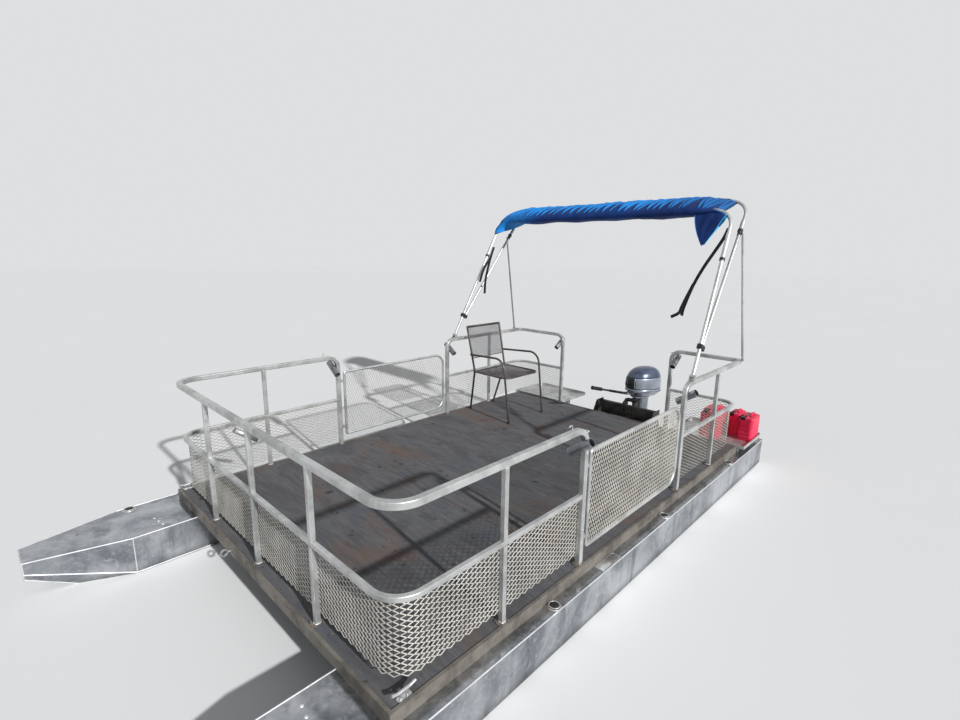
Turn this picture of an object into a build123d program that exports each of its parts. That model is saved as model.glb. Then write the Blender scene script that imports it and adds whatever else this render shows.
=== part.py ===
"""Small aluminium pontoon boat: two box pontoons, plywood deck, mesh fence with two side gates,
folded canvas top on two hoops, tiller outboard, patio chair and fuel tanks.

Millimetres. +X points to the bow, +Y to port, +Z up. The origin lies under the middle of the
hull, on the surface that the pontoons stand on."""
from build123d import *
from math import cos, radians, sin
import os

os.makedirs("parts", exist_ok=True)

# Hull
pontoon_length = 4980
pontoon_width = 444
pontoon_height = 500
hull_beam = 2574
nose_overhang = 825  # pontoon tips beyond the bow edge of the deck
stern_overhang = 515  # pontoon ends beyond the stern edge of the deck
port_ring_diameter = 64
port_ring_height = 8
port_ring_edge_gap = 2  # ring to the outer edge of the pontoon
port_cap_diameter = 42
port_ring_first = 937  # bow edge of the deck to the first ring beside it
port_ring_spacing = 1208
port_ring_count = 3
nose_ring_from_tip = 545

# Deck
deck_width = 2438
plywood_thickness = 18
sheet_seam = 3
sheet_count = 3
beam_height = 38
beam_width = 50
beam_wall = 4
beam_count = 7
beam_inset = 40  # deck edge to the first beam
trim_wall = 4
trim_flange = 16

# Fence
rail_size = 32
post_size = 25
mid_rail_size = 25
tube_corner = 5
rail_height = 758  # deck surface to the middle of the top rail
mid_rail_height = 393
bow_fence_inset = 45  # deck edge to the middle of the rails
side_fence_inset = 30
bow_bend = 130
end_bend = 80
stern_bend = 70
mid_rail_bend = 130
foot_plate = 56
foot_thickness = 5
mesh_thickness = 3
mesh_deck_gap = 48
window_bar = 8  # strands between the windows that stand for the open metal
window_border = 10
window_size = 112
screen_seam = 0.6  # slit where a straight length of a screen meets a bend
bow_post_spacing = 618
forward_mid_post = 628  # deck edge at the bow to the middle of the post
gate_forward_post = 1236
aft_post = 1188  # deck edge at the stern to the middle of the post
stern_mid_post = 575
stern_opening = 1196  # between the middles of the two inner stern posts

# Gates
gate_tube = 22
gate_deck_gap = 72
gate_height = 562
gate_forward_gap = 30
gate_aft_gap = 30
gate_corner = 100
gate_square_corner = 14
hinge_pin = 8
hinge_eye = 18
hinge_clearance = 0.6
hinge_eye_height = 14
hinge_offset = 16  # face of the post to the axis of the pins

# Rod holders
holder_diameter = 48
holder_bore = 42
holder_length = 150
holder_rise = 35

# Bow fittings
cleat_length = 110
cleat_edge_inset = 30
cleat_port_x = 1580
cleat_starboard_x = 1608
eye_bolt_y = -272

# Folding top
hoop_tube = 25
hoop_height = 1295  # along the main hoop, pivot to the middle of its top
hoop_lean = 28.3
hoop_bend = 150
hoop_top_inset = 52  # each leg leans inboard by this much
pivot_above_rail = 26
second_joint = 218  # along the main hoop
second_lean = 37.6
second_gap = 30
second_height = 1335
second_bend = 170
second_top_inset = 44
mount_from_post = 106
sleeve_tube = 31
sleeve_length = 200
short_sleeve = 80  # above the strut studs on the second hoop
sleeve_from_bend = 45
collar_diameter = 38
collar_length = 20
strut_tube = 18
strut_foot_outboard = 27  # middle of the rail to the middle of the strut's foot
strut_head_inboard = 44  # foot to head
strut_from_corner = 88
strut_on_hoop = 1000
strut_eye = 16
strut_eye_thickness = 6
strut_flat = 36
strut_pin = 6
mount_length = 68
mount_wall = 4
pivot_pin = 10
hoop_eye = 29
boot_cover = 36  # canvas beyond the middle of each hoop tube
boot_thickness = 112
boot_end = 930

# Outboard
transom_from_deck = 190
transom_board = 40
transom_top = 640
transom_width = 620
transom_depth = 230
motor_side = 110  # middle of the motor, to port of the centreline
motor_steer_angle = 25
steer_from_transom = 92
tilt_from_transom = 34
tilt_above_transom = 44
leg_length = 381
skeg_length = 196
propeller_diameter = 228
propeller_shaft = 16
running_fit = 0.05
steer_shaft = 20
tilt_rod = 18
tiller_pivot_ahead = 114
tiller_pin = 8
tiller_width = 34
tiller_length = 432
tiller_rise = 13
cowl_length = 372
cowl_width = 262
cowl_height = 250

# Chair: half widths, and distances ahead of the back of the seat
chair_from_stern = 720  # stern edge of the deck to the middle of the chair
chair_from_side = 183  # starboard edge of the deck to the back of the seat
chair_tube = 20
chair_ring_tube = 16
chair_glide = 26
chair_seat_height = 430
chair_seat_depth = 450
chair_arm_height = 622
chair_back_height = 876
chair_back_lean = 102
chair_back_half = 240
chair_foot_half = 175
chair_front_half = 261
chair_front_reach = 499
chair_rear_reach = -108
chair_mesh_thickness = 3
chair_back_gap = 130  # seat to the lower edge of the back

# Stern shelves and fuel tanks
shelf_thickness = 6
shelf_lip = 22
shelf_outer_inset = 12
shelf_corner = 70
outer_tank_from_stern = 185  # end of the pontoon to the middle of the tank
outer_tank_from_edge = 72  # outer edge of the shelf to the middle of the tank
middle_tank_from_stern = 112
middle_tank_from_edge = 196
inner_tank_from_stern = 265
inner_tank_from_edge = 350

# Levels and places worked out from the sizes above
stern_x = -pontoon_length / 2
bow_x = pontoon_length / 2
deck_bow = bow_x - nose_overhang
deck_length = pontoon_length - nose_overhang - stern_overhang
deck_stern = deck_bow - deck_length
beam_top = pontoon_height + beam_height
deck_top = beam_top + plywood_thickness
pontoon_y = (hull_beam - pontoon_width) / 2
fence_y = deck_width / 2 - side_fence_inset
fence_bow = deck_bow - bow_fence_inset
fence_stern = deck_stern + bow_fence_inset
rail_z = deck_top + rail_height
mid_rail_z = deck_top + mid_rail_height
post_base = deck_top + foot_thickness
gate_post_x = deck_bow - gate_forward_post
aft_post_x = deck_stern + aft_post
inner_post_y = stern_opening / 2
holder_seat = rail_size / 2 + holder_diameter / 2 + 0.2
chair_x = deck_stern + chair_from_stern
chair_y = chair_from_side - deck_width / 2
SIDES = {"port": 1, "starboard": -1}


def save(builder, label):
    """Label one finished piece and write it to its own file."""
    builder.part.label = label
    export_step(builder.part, f"parts/{label}.step")


def square_run(points, radii, size, corner=tube_corner):
    """Square tube along straight runs joined by bends, added to the piece being built."""
    with BuildLine() as route:
        FilletPolyline(*points, radius=radii) if len(points) > 2 else Line(*points)
    with BuildSketch(section_plane(route)) as section:
        RectangleRounded(size, size, corner)
    sweep(section.sketch, path=route.line)


def round_run(points, radii, diameter):
    """Round tube along straight runs joined by bends, added to the piece being built."""
    with BuildLine() as route:
        FilletPolyline(*points, radius=radii) if len(points) > 2 else Line(*points)
    with BuildSketch(section_plane(route)) as section:
        Circle(diameter / 2)
    sweep(section.sketch, path=route.line)


def section_plane(route):
    """Plane across the start of a route, with its X level wherever the route allows it."""
    along = route.line % 0
    level = Vector(0, 1, 0) if abs(along.Z) > 0.99 else Vector(0, 0, 1).cross(along)
    return Plane(origin=route.line @ 0, x_dir=level, z_dir=along)


def block(x_range, y_range, z_range):
    """Plain block between two corners, added to the piece being built."""
    centre = [sum(pair) / 2 for pair in (x_range, y_range, z_range)]
    size = [abs(pair[1] - pair[0]) for pair in (x_range, y_range, z_range)]
    with Locations(tuple(centre)):
        Box(*size)


# Pontoons: six-sided sections from the blunt tip to the stern
# Columns: distance aft of the tip, half width at the top, at the knuckle and at the bottom,
# height of the knuckle, height of the bottom
half = pontoon_width / 2
hull_sections = (
    (0, 0.44 * half, 0.42 * half, 0.27 * half, 430, 385),
    (480, half, 0.985 * half, 0.45 * half, 277, 120),
    (900, half, 0.985 * half, 0.52 * half, 277, 0),
    (pontoon_length, half, 0.985 * half, 0.52 * half, 277, 0),
)
for side, sign in SIDES.items():
    with BuildPart() as pontoon:
        for aft, top, knuckle, bottom, knuckle_z, bottom_z in hull_sections:
            with BuildSketch(Plane.YZ.offset(bow_x - aft)):
                with BuildLine():
                    Polyline(
                        (sign * pontoon_y - top, pontoon_height),
                        (sign * pontoon_y + top, pontoon_height),
                        (sign * pontoon_y + knuckle, knuckle_z),
                        (sign * pontoon_y + bottom, bottom_z),
                        (sign * pontoon_y - bottom, bottom_z),
                        (sign * pontoon_y - knuckle, knuckle_z),
                        close=True,
                    )
                make_face()
        loft(ruled=True)
    save(pontoon, f"pontoon_{side}")

# Inspection ports on the pontoon tops: a welded ring round a shallow screw cap
ring_y = hull_beam / 2 - port_ring_edge_gap - port_ring_diameter / 2
ring_xs = [deck_bow - port_ring_first - i * port_ring_spacing for i in range(port_ring_count)]
ring_xs.append(bow_x - nose_ring_from_tip)
port_places = [(x, sign * ring_y) for sign in SIDES.values() for x in ring_xs]
with BuildPart() as ports:
    with Locations(*[(x, y, pontoon_height) for x, y in port_places]):
        Cylinder(port_ring_diameter / 2, port_ring_height, align=(Align.CENTER, Align.CENTER, Align.MIN))
    with Locations(*[(x, y, pontoon_height + port_ring_height) for x, y in port_places]):
        Hole(port_cap_diameter / 2, depth=port_ring_height / 2)
save(ports, "inspection_ports")

# Deck beams: channels across both pontoons, open side aft
beam_step = (deck_length - 2 * beam_inset - beam_width) / (beam_count - 1)
beam_places = [
    deck_bow - beam_inset - beam_width / 2 - i * beam_step
    for i in range(beam_count)
]
with BuildPart() as beams:
    for x in beam_places:
        with BuildSketch(Plane.XZ):
            with Locations((x, pontoon_height + beam_height / 2)):
                Rectangle(beam_width, beam_height)
            with Locations((x - beam_wall, pontoon_height + beam_height / 2)):
                Rectangle(beam_width, beam_height - 2 * beam_wall, mode=Mode.SUBTRACT)
    extrude(amount=deck_width / 2 - trim_wall - 1, both=True)
save(beams, "deck_beams")

# Deck trim: angle round the deck edge
with BuildPart() as trim:
    with BuildSketch(Plane.XY.offset(pontoon_height)):
        with Locations((deck_bow - deck_length / 2, 0)):
            Rectangle(deck_length, deck_width)
            Rectangle(deck_length - 2 * trim_wall, deck_width - 2 * trim_wall, mode=Mode.SUBTRACT)
    extrude(amount=deck_top + trim_wall - pontoon_height)
    with BuildSketch(Plane.XY.offset(deck_top)):
        with Locations((deck_bow - deck_length / 2, 0)):
            Rectangle(deck_length, deck_width)
            Rectangle(deck_length - 2 * trim_flange, deck_width - 2 * trim_flange, mode=Mode.SUBTRACT)
    extrude(amount=trim_wall)
save(trim, "deck_trim")

# Deck: plywood sheets laid across
sheet_length = (deck_length - 2 * trim_wall - (sheet_count + 1)) / sheet_count
with BuildPart() as deck:
    for i in range(sheet_count):
        front = deck_bow - trim_wall - 1 - i * sheet_length
        block(
            (front - sheet_length + sheet_seam, front),
            (1 + trim_wall - deck_width / 2, deck_width / 2 - trim_wall - 1),
            (beam_top, deck_top),
        )
save(deck, "deck_panels")

# Bow fence: top rail bent down to both gate posts
with BuildPart() as bow_rail:
    square_run(
        [
            (gate_post_x, fence_y, post_base),
            (gate_post_x, fence_y, rail_z),
            (fence_bow, fence_y, rail_z),
            (fence_bow, -fence_y, rail_z),
            (gate_post_x, -fence_y, rail_z),
            (gate_post_x, -fence_y, post_base),
        ],
        [end_bend, bow_bend, bow_bend, end_bend],
        rail_size,
    )
save(bow_rail, "bow_top_rail")

mid_rail_front = gate_post_x + rail_size / 2
with BuildPart() as bow_mid:
    square_run(
        [
            (mid_rail_front, fence_y, mid_rail_z),
            (fence_bow, fence_y, mid_rail_z),
            (fence_bow, -fence_y, mid_rail_z),
            (mid_rail_front, -fence_y, mid_rail_z),
        ],
        [mid_rail_bend, mid_rail_bend],
        mid_rail_size,
    )
save(bow_mid, "bow_mid_rail")

# Straight posts stand in two lengths, below and above the middle rail
bow_post_places = [(fence_bow, i * bow_post_spacing) for i in (-1, 0, 1)]
bow_post_places += [(deck_bow - forward_mid_post, sign * fence_y) for sign in SIDES.values()]
stern_post_places = {
    side: [(deck_stern + stern_mid_post, sign * fence_y)] for side, sign in SIDES.items()
}


def posts(places):
    """Square posts with foot plates, cut round the middle rail."""
    for x, y in places:
        for low, high in (
            (post_base, mid_rail_z - mid_rail_size / 2),
            (mid_rail_z + mid_rail_size / 2, rail_z - rail_size / 2),
        ):
            with BuildSketch(Plane.XY.offset(low)) as section:
                with Locations((x, y)):
                    RectangleRounded(post_size, post_size, tube_corner / 2)
            extrude(section.sketch, amount=high - low)


def feet(places):
    """Foot plates on the deck."""
    for x, y in places:
        with Locations((x, y, deck_top + foot_thickness / 2)):
            Box(foot_plate, min(foot_plate, 2 * (side_fence_inset - trim_flange - 1)), foot_thickness)


with BuildPart() as bow_posts:
    posts(bow_post_places)
save(bow_posts, "bow_posts")

foot_places = bow_post_places + sum(stern_post_places.values(), [])
for sign in SIDES.values():
    foot_places += [
        (gate_post_x, sign * fence_y),
        (aft_post_x, sign * fence_y),
        (fence_stern, sign * inner_post_y),
    ]
with BuildPart() as post_feet:
    feet(foot_places)
save(post_feet, "post_feet")

# Mesh stands against the inner faces of the posts
mesh_y = fence_y - post_size / 2 - mesh_thickness / 2
mesh_bow = fence_bow - post_size / 2 - mesh_thickness / 2
mesh_low = deck_top + mesh_deck_gap
mesh_bend = mid_rail_bend - post_size / 2 - mesh_thickness / 2


def mesh_run(points, radii):
    """Upright sheet that follows a level route, added to the piece being built."""
    with BuildLine() as route:
        FilletPolyline(*points, radius=radii)
    with BuildSketch(section_plane(route)) as section:
        Rectangle(mesh_thickness, mid_rail_z - mesh_low)
    sweep(section.sketch, path=route.line)


def windows(plane, run, rise):
    """Grid of windows cut through an upright sheet; the plane's X runs along it, Z through it."""
    across = max(1, min(12, round(run / window_size)))
    up = max(1, round(rise / window_size))
    width = (run - 2 * window_border - (across - 1) * window_bar) / across
    height = (rise - 2 * window_border - (up - 1) * window_bar) / up
    with BuildSketch(plane) as grid:
        with GridLocations(width + window_bar, height + window_bar, across, up):
            Rectangle(width, height)
    extrude(grid.sketch, amount=mesh_thickness, both=True, mode=Mode.SUBTRACT)


def seam(plane):
    """Slit across an upright sheet, cut through the piece being built."""
    with BuildSketch(plane) as slit:
        Rectangle(screen_seam, screen_rise + 2)
    extrude(slit.sketch, amount=mesh_thickness, both=True, mode=Mode.SUBTRACT)


def upright(x, y, along):
    """Upright plane at the middle of a screen, its X along the run."""
    return Plane(origin=(x, y, mesh_z), x_dir=along, z_dir=Vector(along).cross(Vector(0, 0, 1)))


mesh_z = (mid_rail_z + mesh_low) / 2
screen_rise = mid_rail_z - mesh_low
with BuildPart() as bow_mesh:
    mesh_run(
        [
            (mid_rail_front, mesh_y, mesh_z),
            (mesh_bow, mesh_y, mesh_z),
            (mesh_bow, -mesh_y, mesh_z),
            (mid_rail_front, -mesh_y, mesh_z),
        ],
        [mesh_bend, mesh_bend],
    )
    side_run = mesh_bow - mesh_bend - mid_rail_front
    for sign in SIDES.values():
        windows(upright(mid_rail_front + side_run / 2, sign * mesh_y, (1, 0, 0)), side_run, screen_rise)
        seam(upright(mesh_bow - mesh_bend, sign * mesh_y, (1, 0, 0)))
        seam(upright(mesh_bow, sign * (mesh_y - mesh_bend), (0, 1, 0)))
    windows(upright(mesh_bow, 0, (0, 1, 0)), 2 * (mesh_y - mesh_bend), screen_rise)
save(bow_mesh, "bow_mesh")

# Stern sections, one each side of the motor
mesh_stern = fence_stern + post_size / 2 + mesh_thickness / 2
for side, sign in SIDES.items():
    with BuildPart() as stern_rail:
        square_run(
            [
                (aft_post_x, sign * fence_y, post_base),
                (aft_post_x, sign * fence_y, rail_z),
                (fence_stern, sign * fence_y, rail_z),
                (fence_stern, sign * inner_post_y, rail_z),
                (fence_stern, sign * inner_post_y, post_base),
            ],
            [end_bend, stern_bend, end_bend],
            rail_size,
        )
    save(stern_rail, f"stern_rail_{side}")

    with BuildPart() as stern_mid:
        square_run(
            [
                (aft_post_x - rail_size / 2, sign * fence_y, mid_rail_z),
                (fence_stern, sign * fence_y, mid_rail_z),
                (fence_stern, sign * (inner_post_y + rail_size / 2), mid_rail_z),
            ],
            [mid_rail_bend],
            mid_rail_size,
        )
        posts(stern_post_places[side])
    save(stern_mid, f"stern_mid_rail_{side}")

    with BuildPart() as stern_mesh:
        mesh_run(
            [
                (aft_post_x - rail_size / 2, sign * mesh_y, mesh_z),
                (mesh_stern, sign * mesh_y, mesh_z),
                (mesh_stern, sign * (inner_post_y + rail_size / 2), mesh_z),
            ],
            [mesh_bend],
        )
        long_run = aft_post_x - rail_size / 2 - mesh_stern - mesh_bend
        windows(
            upright(mesh_stern + mesh_bend + long_run / 2, sign * mesh_y, (1, 0, 0)), long_run, screen_rise
        )
        short_run = mesh_y - mesh_bend - inner_post_y - rail_size / 2
        middle_y = mesh_y - mesh_bend - short_run / 2
        windows(upright(mesh_stern, sign * middle_y, (0, 1, 0)), short_run, screen_rise)
        seam(upright(mesh_stern + mesh_bend, sign * mesh_y, (1, 0, 0)))
        seam(upright(mesh_stern, sign * (mesh_y - mesh_bend), (0, 1, 0)))
    save(stern_mesh, f"stern_mesh_{side}")

# Gates: bent tube frame with square corners at the hinges, mesh sheet inside
gate_front = gate_post_x - rail_size / 2 - gate_forward_gap - gate_tube / 2
gate_back = aft_post_x + rail_size / 2 + gate_aft_gap + gate_tube / 2
gate_low = deck_top + gate_deck_gap + gate_tube / 2
gate_high = deck_top + gate_deck_gap + gate_height - gate_tube / 2
hinge_x = gate_post_x - rail_size / 2 - hinge_offset
hinge_levels = (gate_low + 70, gate_high - 70)
for side, sign in SIDES.items():
    with BuildPart() as gate:
        with BuildLine() as outline:
            FilletPolyline(
                (gate_front, sign * fence_y, gate_high),
                (gate_back, sign * fence_y, gate_high),
                (gate_back, sign * fence_y, gate_low),
                (gate_front, sign * fence_y, gate_low),
                radius=[gate_square_corner, gate_corner, gate_corner, gate_square_corner],
                close=True,
            )
        with BuildSketch(section_plane(outline)):
            Circle(gate_tube / 2)
        sweep(path=outline.line)
        for level in hinge_levels:
            block(
                (gate_front + gate_tube / 2 - 2, hinge_x),
                (sign * fence_y - 3, sign * fence_y + 3),
                (level - hinge_eye_height / 2, level + hinge_eye_height / 2),
            )
            with Locations((hinge_x, sign * fence_y, level)):
                Cylinder(hinge_eye / 2, hinge_eye_height)
                Hole(hinge_pin / 2 + hinge_clearance, depth=hinge_eye_height)
    save(gate, f"gate_frame_{side}")

    with BuildPart() as gate_mesh:
        with BuildSketch(Plane.XZ.offset(-sign * fence_y)):
            with BuildLine():
                FilletPolyline(
                    (gate_front - gate_tube / 2, gate_high - gate_tube / 2),
                    (gate_back + gate_tube / 2, gate_high - gate_tube / 2),
                    (gate_back + gate_tube / 2, gate_low + gate_tube / 2),
                    (gate_front - gate_tube / 2, gate_low + gate_tube / 2),
                    radius=[
                        gate_square_corner / 4,
                        gate_corner - gate_tube / 2,
                        gate_corner - gate_tube / 2,
                        gate_square_corner / 4,
                    ],
                    close=True,
                )
            make_face()
        extrude(amount=mesh_thickness / 2, both=True)
        gate_middle = Plane(
            origin=((gate_front + gate_back) / 2, sign * fence_y, (gate_low + gate_high) / 2),
            x_dir=(1, 0, 0),
            z_dir=(0, 1, 0),
        )
        windows(
            gate_middle,
            gate_front - gate_back - gate_corner,
            gate_high - gate_low - gate_corner / 2,
        )
    save(gate_mesh, f"gate_mesh_{side}")

# Hinge pins: a tab on the post carries each pin, the gate eye rests on the tab
tab_thickness = 5
with BuildPart() as hinges:
    for sign in SIDES.values():
        for level in hinge_levels:
            tab_top = level - hinge_eye_height / 2 - 0.5
            block(
                (hinge_x - hinge_pin, gate_post_x - rail_size / 2),
                (sign * fence_y - hinge_pin, sign * fence_y + hinge_pin),
                (tab_top - tab_thickness, tab_top),
            )
            with Locations((hinge_x, sign * fence_y, tab_top)):
                Cylinder(
                    hinge_pin / 2,
                    hinge_eye_height + 8,
                    align=(Align.CENTER, Align.CENTER, Align.MIN),
                )
save(hinges, "gate_hinge_pins")

# Rod holders: open tubes welded across the posts under the bends, raised outboard
holder_z = rail_z - end_bend - 12
with BuildPart() as holders:
    for sign in SIDES.values():
        for x, y, outboard in (
            (gate_post_x + holder_seat, fence_y, Vector(0, sign, 0)),
            (aft_post_x - holder_seat, fence_y, Vector(0, sign, 0)),
            (fence_stern, inner_post_y + holder_seat, Vector(-1, 0, 0)),
        ):
            axis = outboard * cos(radians(holder_rise)) + Vector(0, 0, sin(radians(holder_rise)))
            start = Vector(x, sign * y, holder_z) - axis * (holder_length / 2)
            with BuildSketch(Plane(origin=start, z_dir=axis)):
                Circle(holder_diameter / 2)
                Circle(holder_bore / 2, mode=Mode.SUBTRACT)
            extrude(amount=holder_length)
save(holders, "rod_holders")

# Cleats at both bow corners: a raised bar along the deck edge on two short legs
with BuildPart() as cleats:
    for side, x in (("port", cleat_port_x), ("starboard", cleat_starboard_x)):
        spot = Plane(origin=(x, SIDES[side] * (deck_width / 2 - cleat_edge_inset), deck_top))
        with BuildSketch(spot):
            RectangleRounded(62, 24, 6)
        extrude(amount=trim_wall)
        with BuildSketch(spot.offset(trim_wall)):
            with Locations((-15, 0), (15, 0)):
                Circle(6)
        extrude(amount=22)
        ends = ((-cleat_length / 2, 0, 38), (-26, 0, 31), (26, 0, 31), (cleat_length / 2, 0, 38))
        with BuildLine() as bar:
            Polyline(*[spot.from_local_coords(point) for point in ends])
        with BuildSketch(Plane(origin=bar.line @ 0, z_dir=bar.line % 0)):
            Circle(6.5)
        sweep(path=bar.line, transition=Transition.ROUND)
save(cleats, "bow_cleats")

# Eye bolt through the bow edge of the deck
with BuildPart() as eye:
    with BuildSketch(Plane.XZ.offset(-eye_bolt_y)):
        with Locations((deck_bow + 34, beam_top - 12)):
            Circle(21)
            Circle(14, mode=Mode.SUBTRACT)
    extrude(amount=4, both=True)
    with Locations(Location((deck_bow, eye_bolt_y, beam_top - 12), (0, 90, 0))):
        Cylinder(3.5, 20, align=(Align.CENTER, Align.CENTER, Align.MIN))
save(eye, "bow_eye_bolt")

# Stern shelves on the pontoon ends, each with a raised lip and two bearers
shelf_inner = inner_post_y + 20
shelf_outer = hull_beam / 2 - shelf_outer_inset
shelf_top = deck_top - 12
for side, sign in SIDES.items():
    with BuildPart() as shelf:
        with BuildSketch(Plane.XY.offset(shelf_top - shelf_thickness)) as plan:
            with BuildLine():
                FilletPolyline(
                    (deck_stern, sign * shelf_inner),
                    (stern_x, sign * shelf_inner),
                    (stern_x, sign * shelf_outer),
                    (deck_stern, sign * shelf_outer),
                    radius=[30, shelf_corner],
                )
                Line((deck_stern, sign * shelf_outer), (deck_stern, sign * shelf_inner))
            make_face()
        extrude(amount=shelf_thickness)
        with BuildSketch(Plane.XY.offset(shelf_top)):
            add(plan.sketch)
            offset(plan.sketch, amount=-shelf_thickness, mode=Mode.SUBTRACT)
        extrude(amount=shelf_lip)
        for x in (deck_stern - 60, stern_x + 90):
            block(
                (x - 20, x + 20),
                (sign * (pontoon_y - 150), sign * (pontoon_y + 150)),
                (pontoon_height, shelf_top - shelf_thickness),
            )
    save(shelf, f"stern_shelf_{side}")

# Motor bracket: two side plates from the deck edge to a board that the motor clamps to
transom_x = deck_stern - transom_from_deck
with BuildPart() as bracket:
    block(
        (transom_x, transom_x + transom_board),
        (motor_side - transom_width / 2, motor_side + transom_width / 2),
        (transom_top - transom_depth, transom_top),
    )
    for edge in (-1, 1):
        y = motor_side + edge * (transom_width / 2 + 4)
        with BuildSketch(Plane.XZ.offset(-y)):
            with BuildLine():
                Polyline(
                    (deck_stern, deck_top),
                    (deck_stern - 60, transom_top + 20),
                    (transom_x, transom_top + 20),
                    (transom_x, transom_top - transom_depth),
                    (deck_stern, pontoon_height),
                    close=True,
                )
            make_face()
        extrude(amount=4, both=True)
save(bracket, "motor_bracket")

# Outboard, built on planes through its swivel axis
tilt_x = transom_x - tilt_from_transom
tilt_z = transom_top + tilt_above_transom
steer_x = transom_x - steer_from_transom
plate_z = transom_top - leg_length
skeg_z = plate_z - skeg_length
steer = radians(motor_steer_angle)
motor_ahead = Vector(cos(steer), -sin(steer), 0)


def motor_plane(height, ahead=0):
    """Level plane on the swivel axis, its X pointing ahead of the steered motor."""
    origin = Vector(steer_x, motor_side, height) + motor_ahead * ahead
    return Plane(origin=origin, x_dir=motor_ahead, z_dir=(0, 0, 1))


with BuildPart() as clamp:
    for edge in (-1, 1):
        y = motor_side + edge * 58
        with BuildSketch(Plane.XZ.offset(-y)):
            with BuildLine():
                Polyline(
                    (transom_x + transom_board + 30, transom_top + 4),
                    (transom_x + transom_board + 30, transom_top - 90),
                    (transom_x + transom_board + 14, transom_top - 90),
                    (transom_x + transom_board + 14, transom_top + 0.5),
                    (transom_x - 0.5, transom_top + 0.5),
                    (transom_x - 0.5, transom_top - 190),
                    (transom_x - 24, transom_top - 190),
                    (transom_x - 52, tilt_z - 8),
                    (tilt_x - 14, tilt_z + 12),
                    (tilt_x + 20, tilt_z + 12),
                    close=True,
                )
            make_face()
        extrude(amount=8, both=True)
        with Locations(Location((transom_x + transom_board + 30, y, transom_top - 62), (0, 90, 0))):
            Cylinder(8, 60)
        block(
            (transom_x + transom_board + 56, transom_x + transom_board + 62),
            (y - 34, y + 34),
            (transom_top - 70, transom_top - 54),
        )
    with Locations(Location((tilt_x, motor_side, tilt_z), (90, 0, 0))):
        Cylinder(tilt_rod / 2, 150)
save(clamp, "motor_clamp")

swivel_z = transom_top - 70
swivel_half = tilt_z - swivel_z + 14
with BuildPart() as swivel:
    with Locations(Location((tilt_x, motor_side, tilt_z), (90, 0, 0))):
        Cylinder(20, 92)
    block(
        (steer_x, tilt_x - 17),
        (motor_side - 22, motor_side + 22),
        (tilt_z - 26, tilt_z + 14),
    )
    with Locations((steer_x, motor_side, swivel_z)):
        Cylinder(24, 2 * swivel_half)
        Cylinder(steer_shaft / 2 + running_fit, 300, mode=Mode.SUBTRACT)
    with Locations(Location((tilt_x, motor_side, tilt_z), (90, 0, 0))):
        Cylinder(tilt_rod / 2 + running_fit, 92, mode=Mode.SUBTRACT)
save(swivel, "motor_swivel")
swivel_top = swivel_z + swivel_half
swivel_bottom = swivel_z - swivel_half

# Leg: lower mount, exhaust housing, cavitation plate, gearcase and skeg
leg_back = -128
head_gap = 12  # the head passes over the tilt tube as it steers
with BuildPart() as leg:
    with BuildSketch(motor_plane(swivel_top + head_gap)):
        with Locations((-62, 0)):
            RectangleRounded(190, 120, 40)
    extrude(amount=36 - head_gap)
    with BuildSketch(motor_plane(swivel_bottom - 36)):
        with Locations((-62, 0)):
            RectangleRounded(172, 60, 26)
    extrude(amount=34)
    with BuildSketch(motor_plane(plate_z)):
        with Locations((leg_back + 28, 0)):
            RectangleRounded(128, 42, 20)
    with BuildSketch(motor_plane(swivel_top + head_gap + 2)):
        with Locations((leg_back + 30, 0)):
            RectangleRounded(112, 84, 30)
    loft()
    with BuildSketch(motor_plane(plate_z - 8)):
        with Locations((leg_back + 6, 0)):
            RectangleRounded(236, 140, 60)
    extrude(amount=8)
    with Locations((steer_x, motor_side, swivel_z)):
        Cylinder(steer_shaft / 2, swivel_top - swivel_bottom + 2 * head_gap + 12)
save(leg, "motor_leg")

prop_z = plate_z - 8 - propeller_diameter / 2 - 12
prop_plane = Plane(
    origin=Vector(steer_x, motor_side, prop_z) + motor_ahead * (leg_back - 69),
    x_dir=(0, 0, 1),
    z_dir=motor_ahead * -1,
)
with BuildPart() as gearcase:
    with BuildSketch(motor_plane(plate_z - 8)):
        with Locations((leg_back + 30, 0)):
            Ellipse(66, 17)
    with BuildSketch(motor_plane(prop_z + 20)):
        with Locations((leg_back + 34, 0)):
            Ellipse(54, 13)
    loft()
    bullet = Plane(
        origin=Vector(steer_x, motor_side, prop_z) + motor_ahead * (leg_back + 130),
        x_dir=motor_ahead,
        z_dir=motor_ahead.cross(Vector(0, 0, 1)),
    )
    with BuildSketch(bullet):
        with BuildLine():
            Spline((0, 0), (-40, 27), (-110, 33), (-196, 26), tangents=((0, 1), (-1, -0.1)))
            Polyline((-196, 26), (-196, 0), (0, 0))
        make_face()
    revolve(axis=Axis(bullet.origin, motor_ahead))
    with BuildSketch(bullet):
        with BuildLine():
            Polyline((-20, 0), (-96, skeg_z - prop_z), (-150, skeg_z - prop_z), (-150, 0), close=True)
        make_face()
    extrude(amount=4, both=True)
    with BuildSketch(prop_plane.offset(-20)):
        Circle(propeller_shaft / 2)
    extrude(amount=20 + 44)
save(gearcase, "motor_gearcase")

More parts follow.
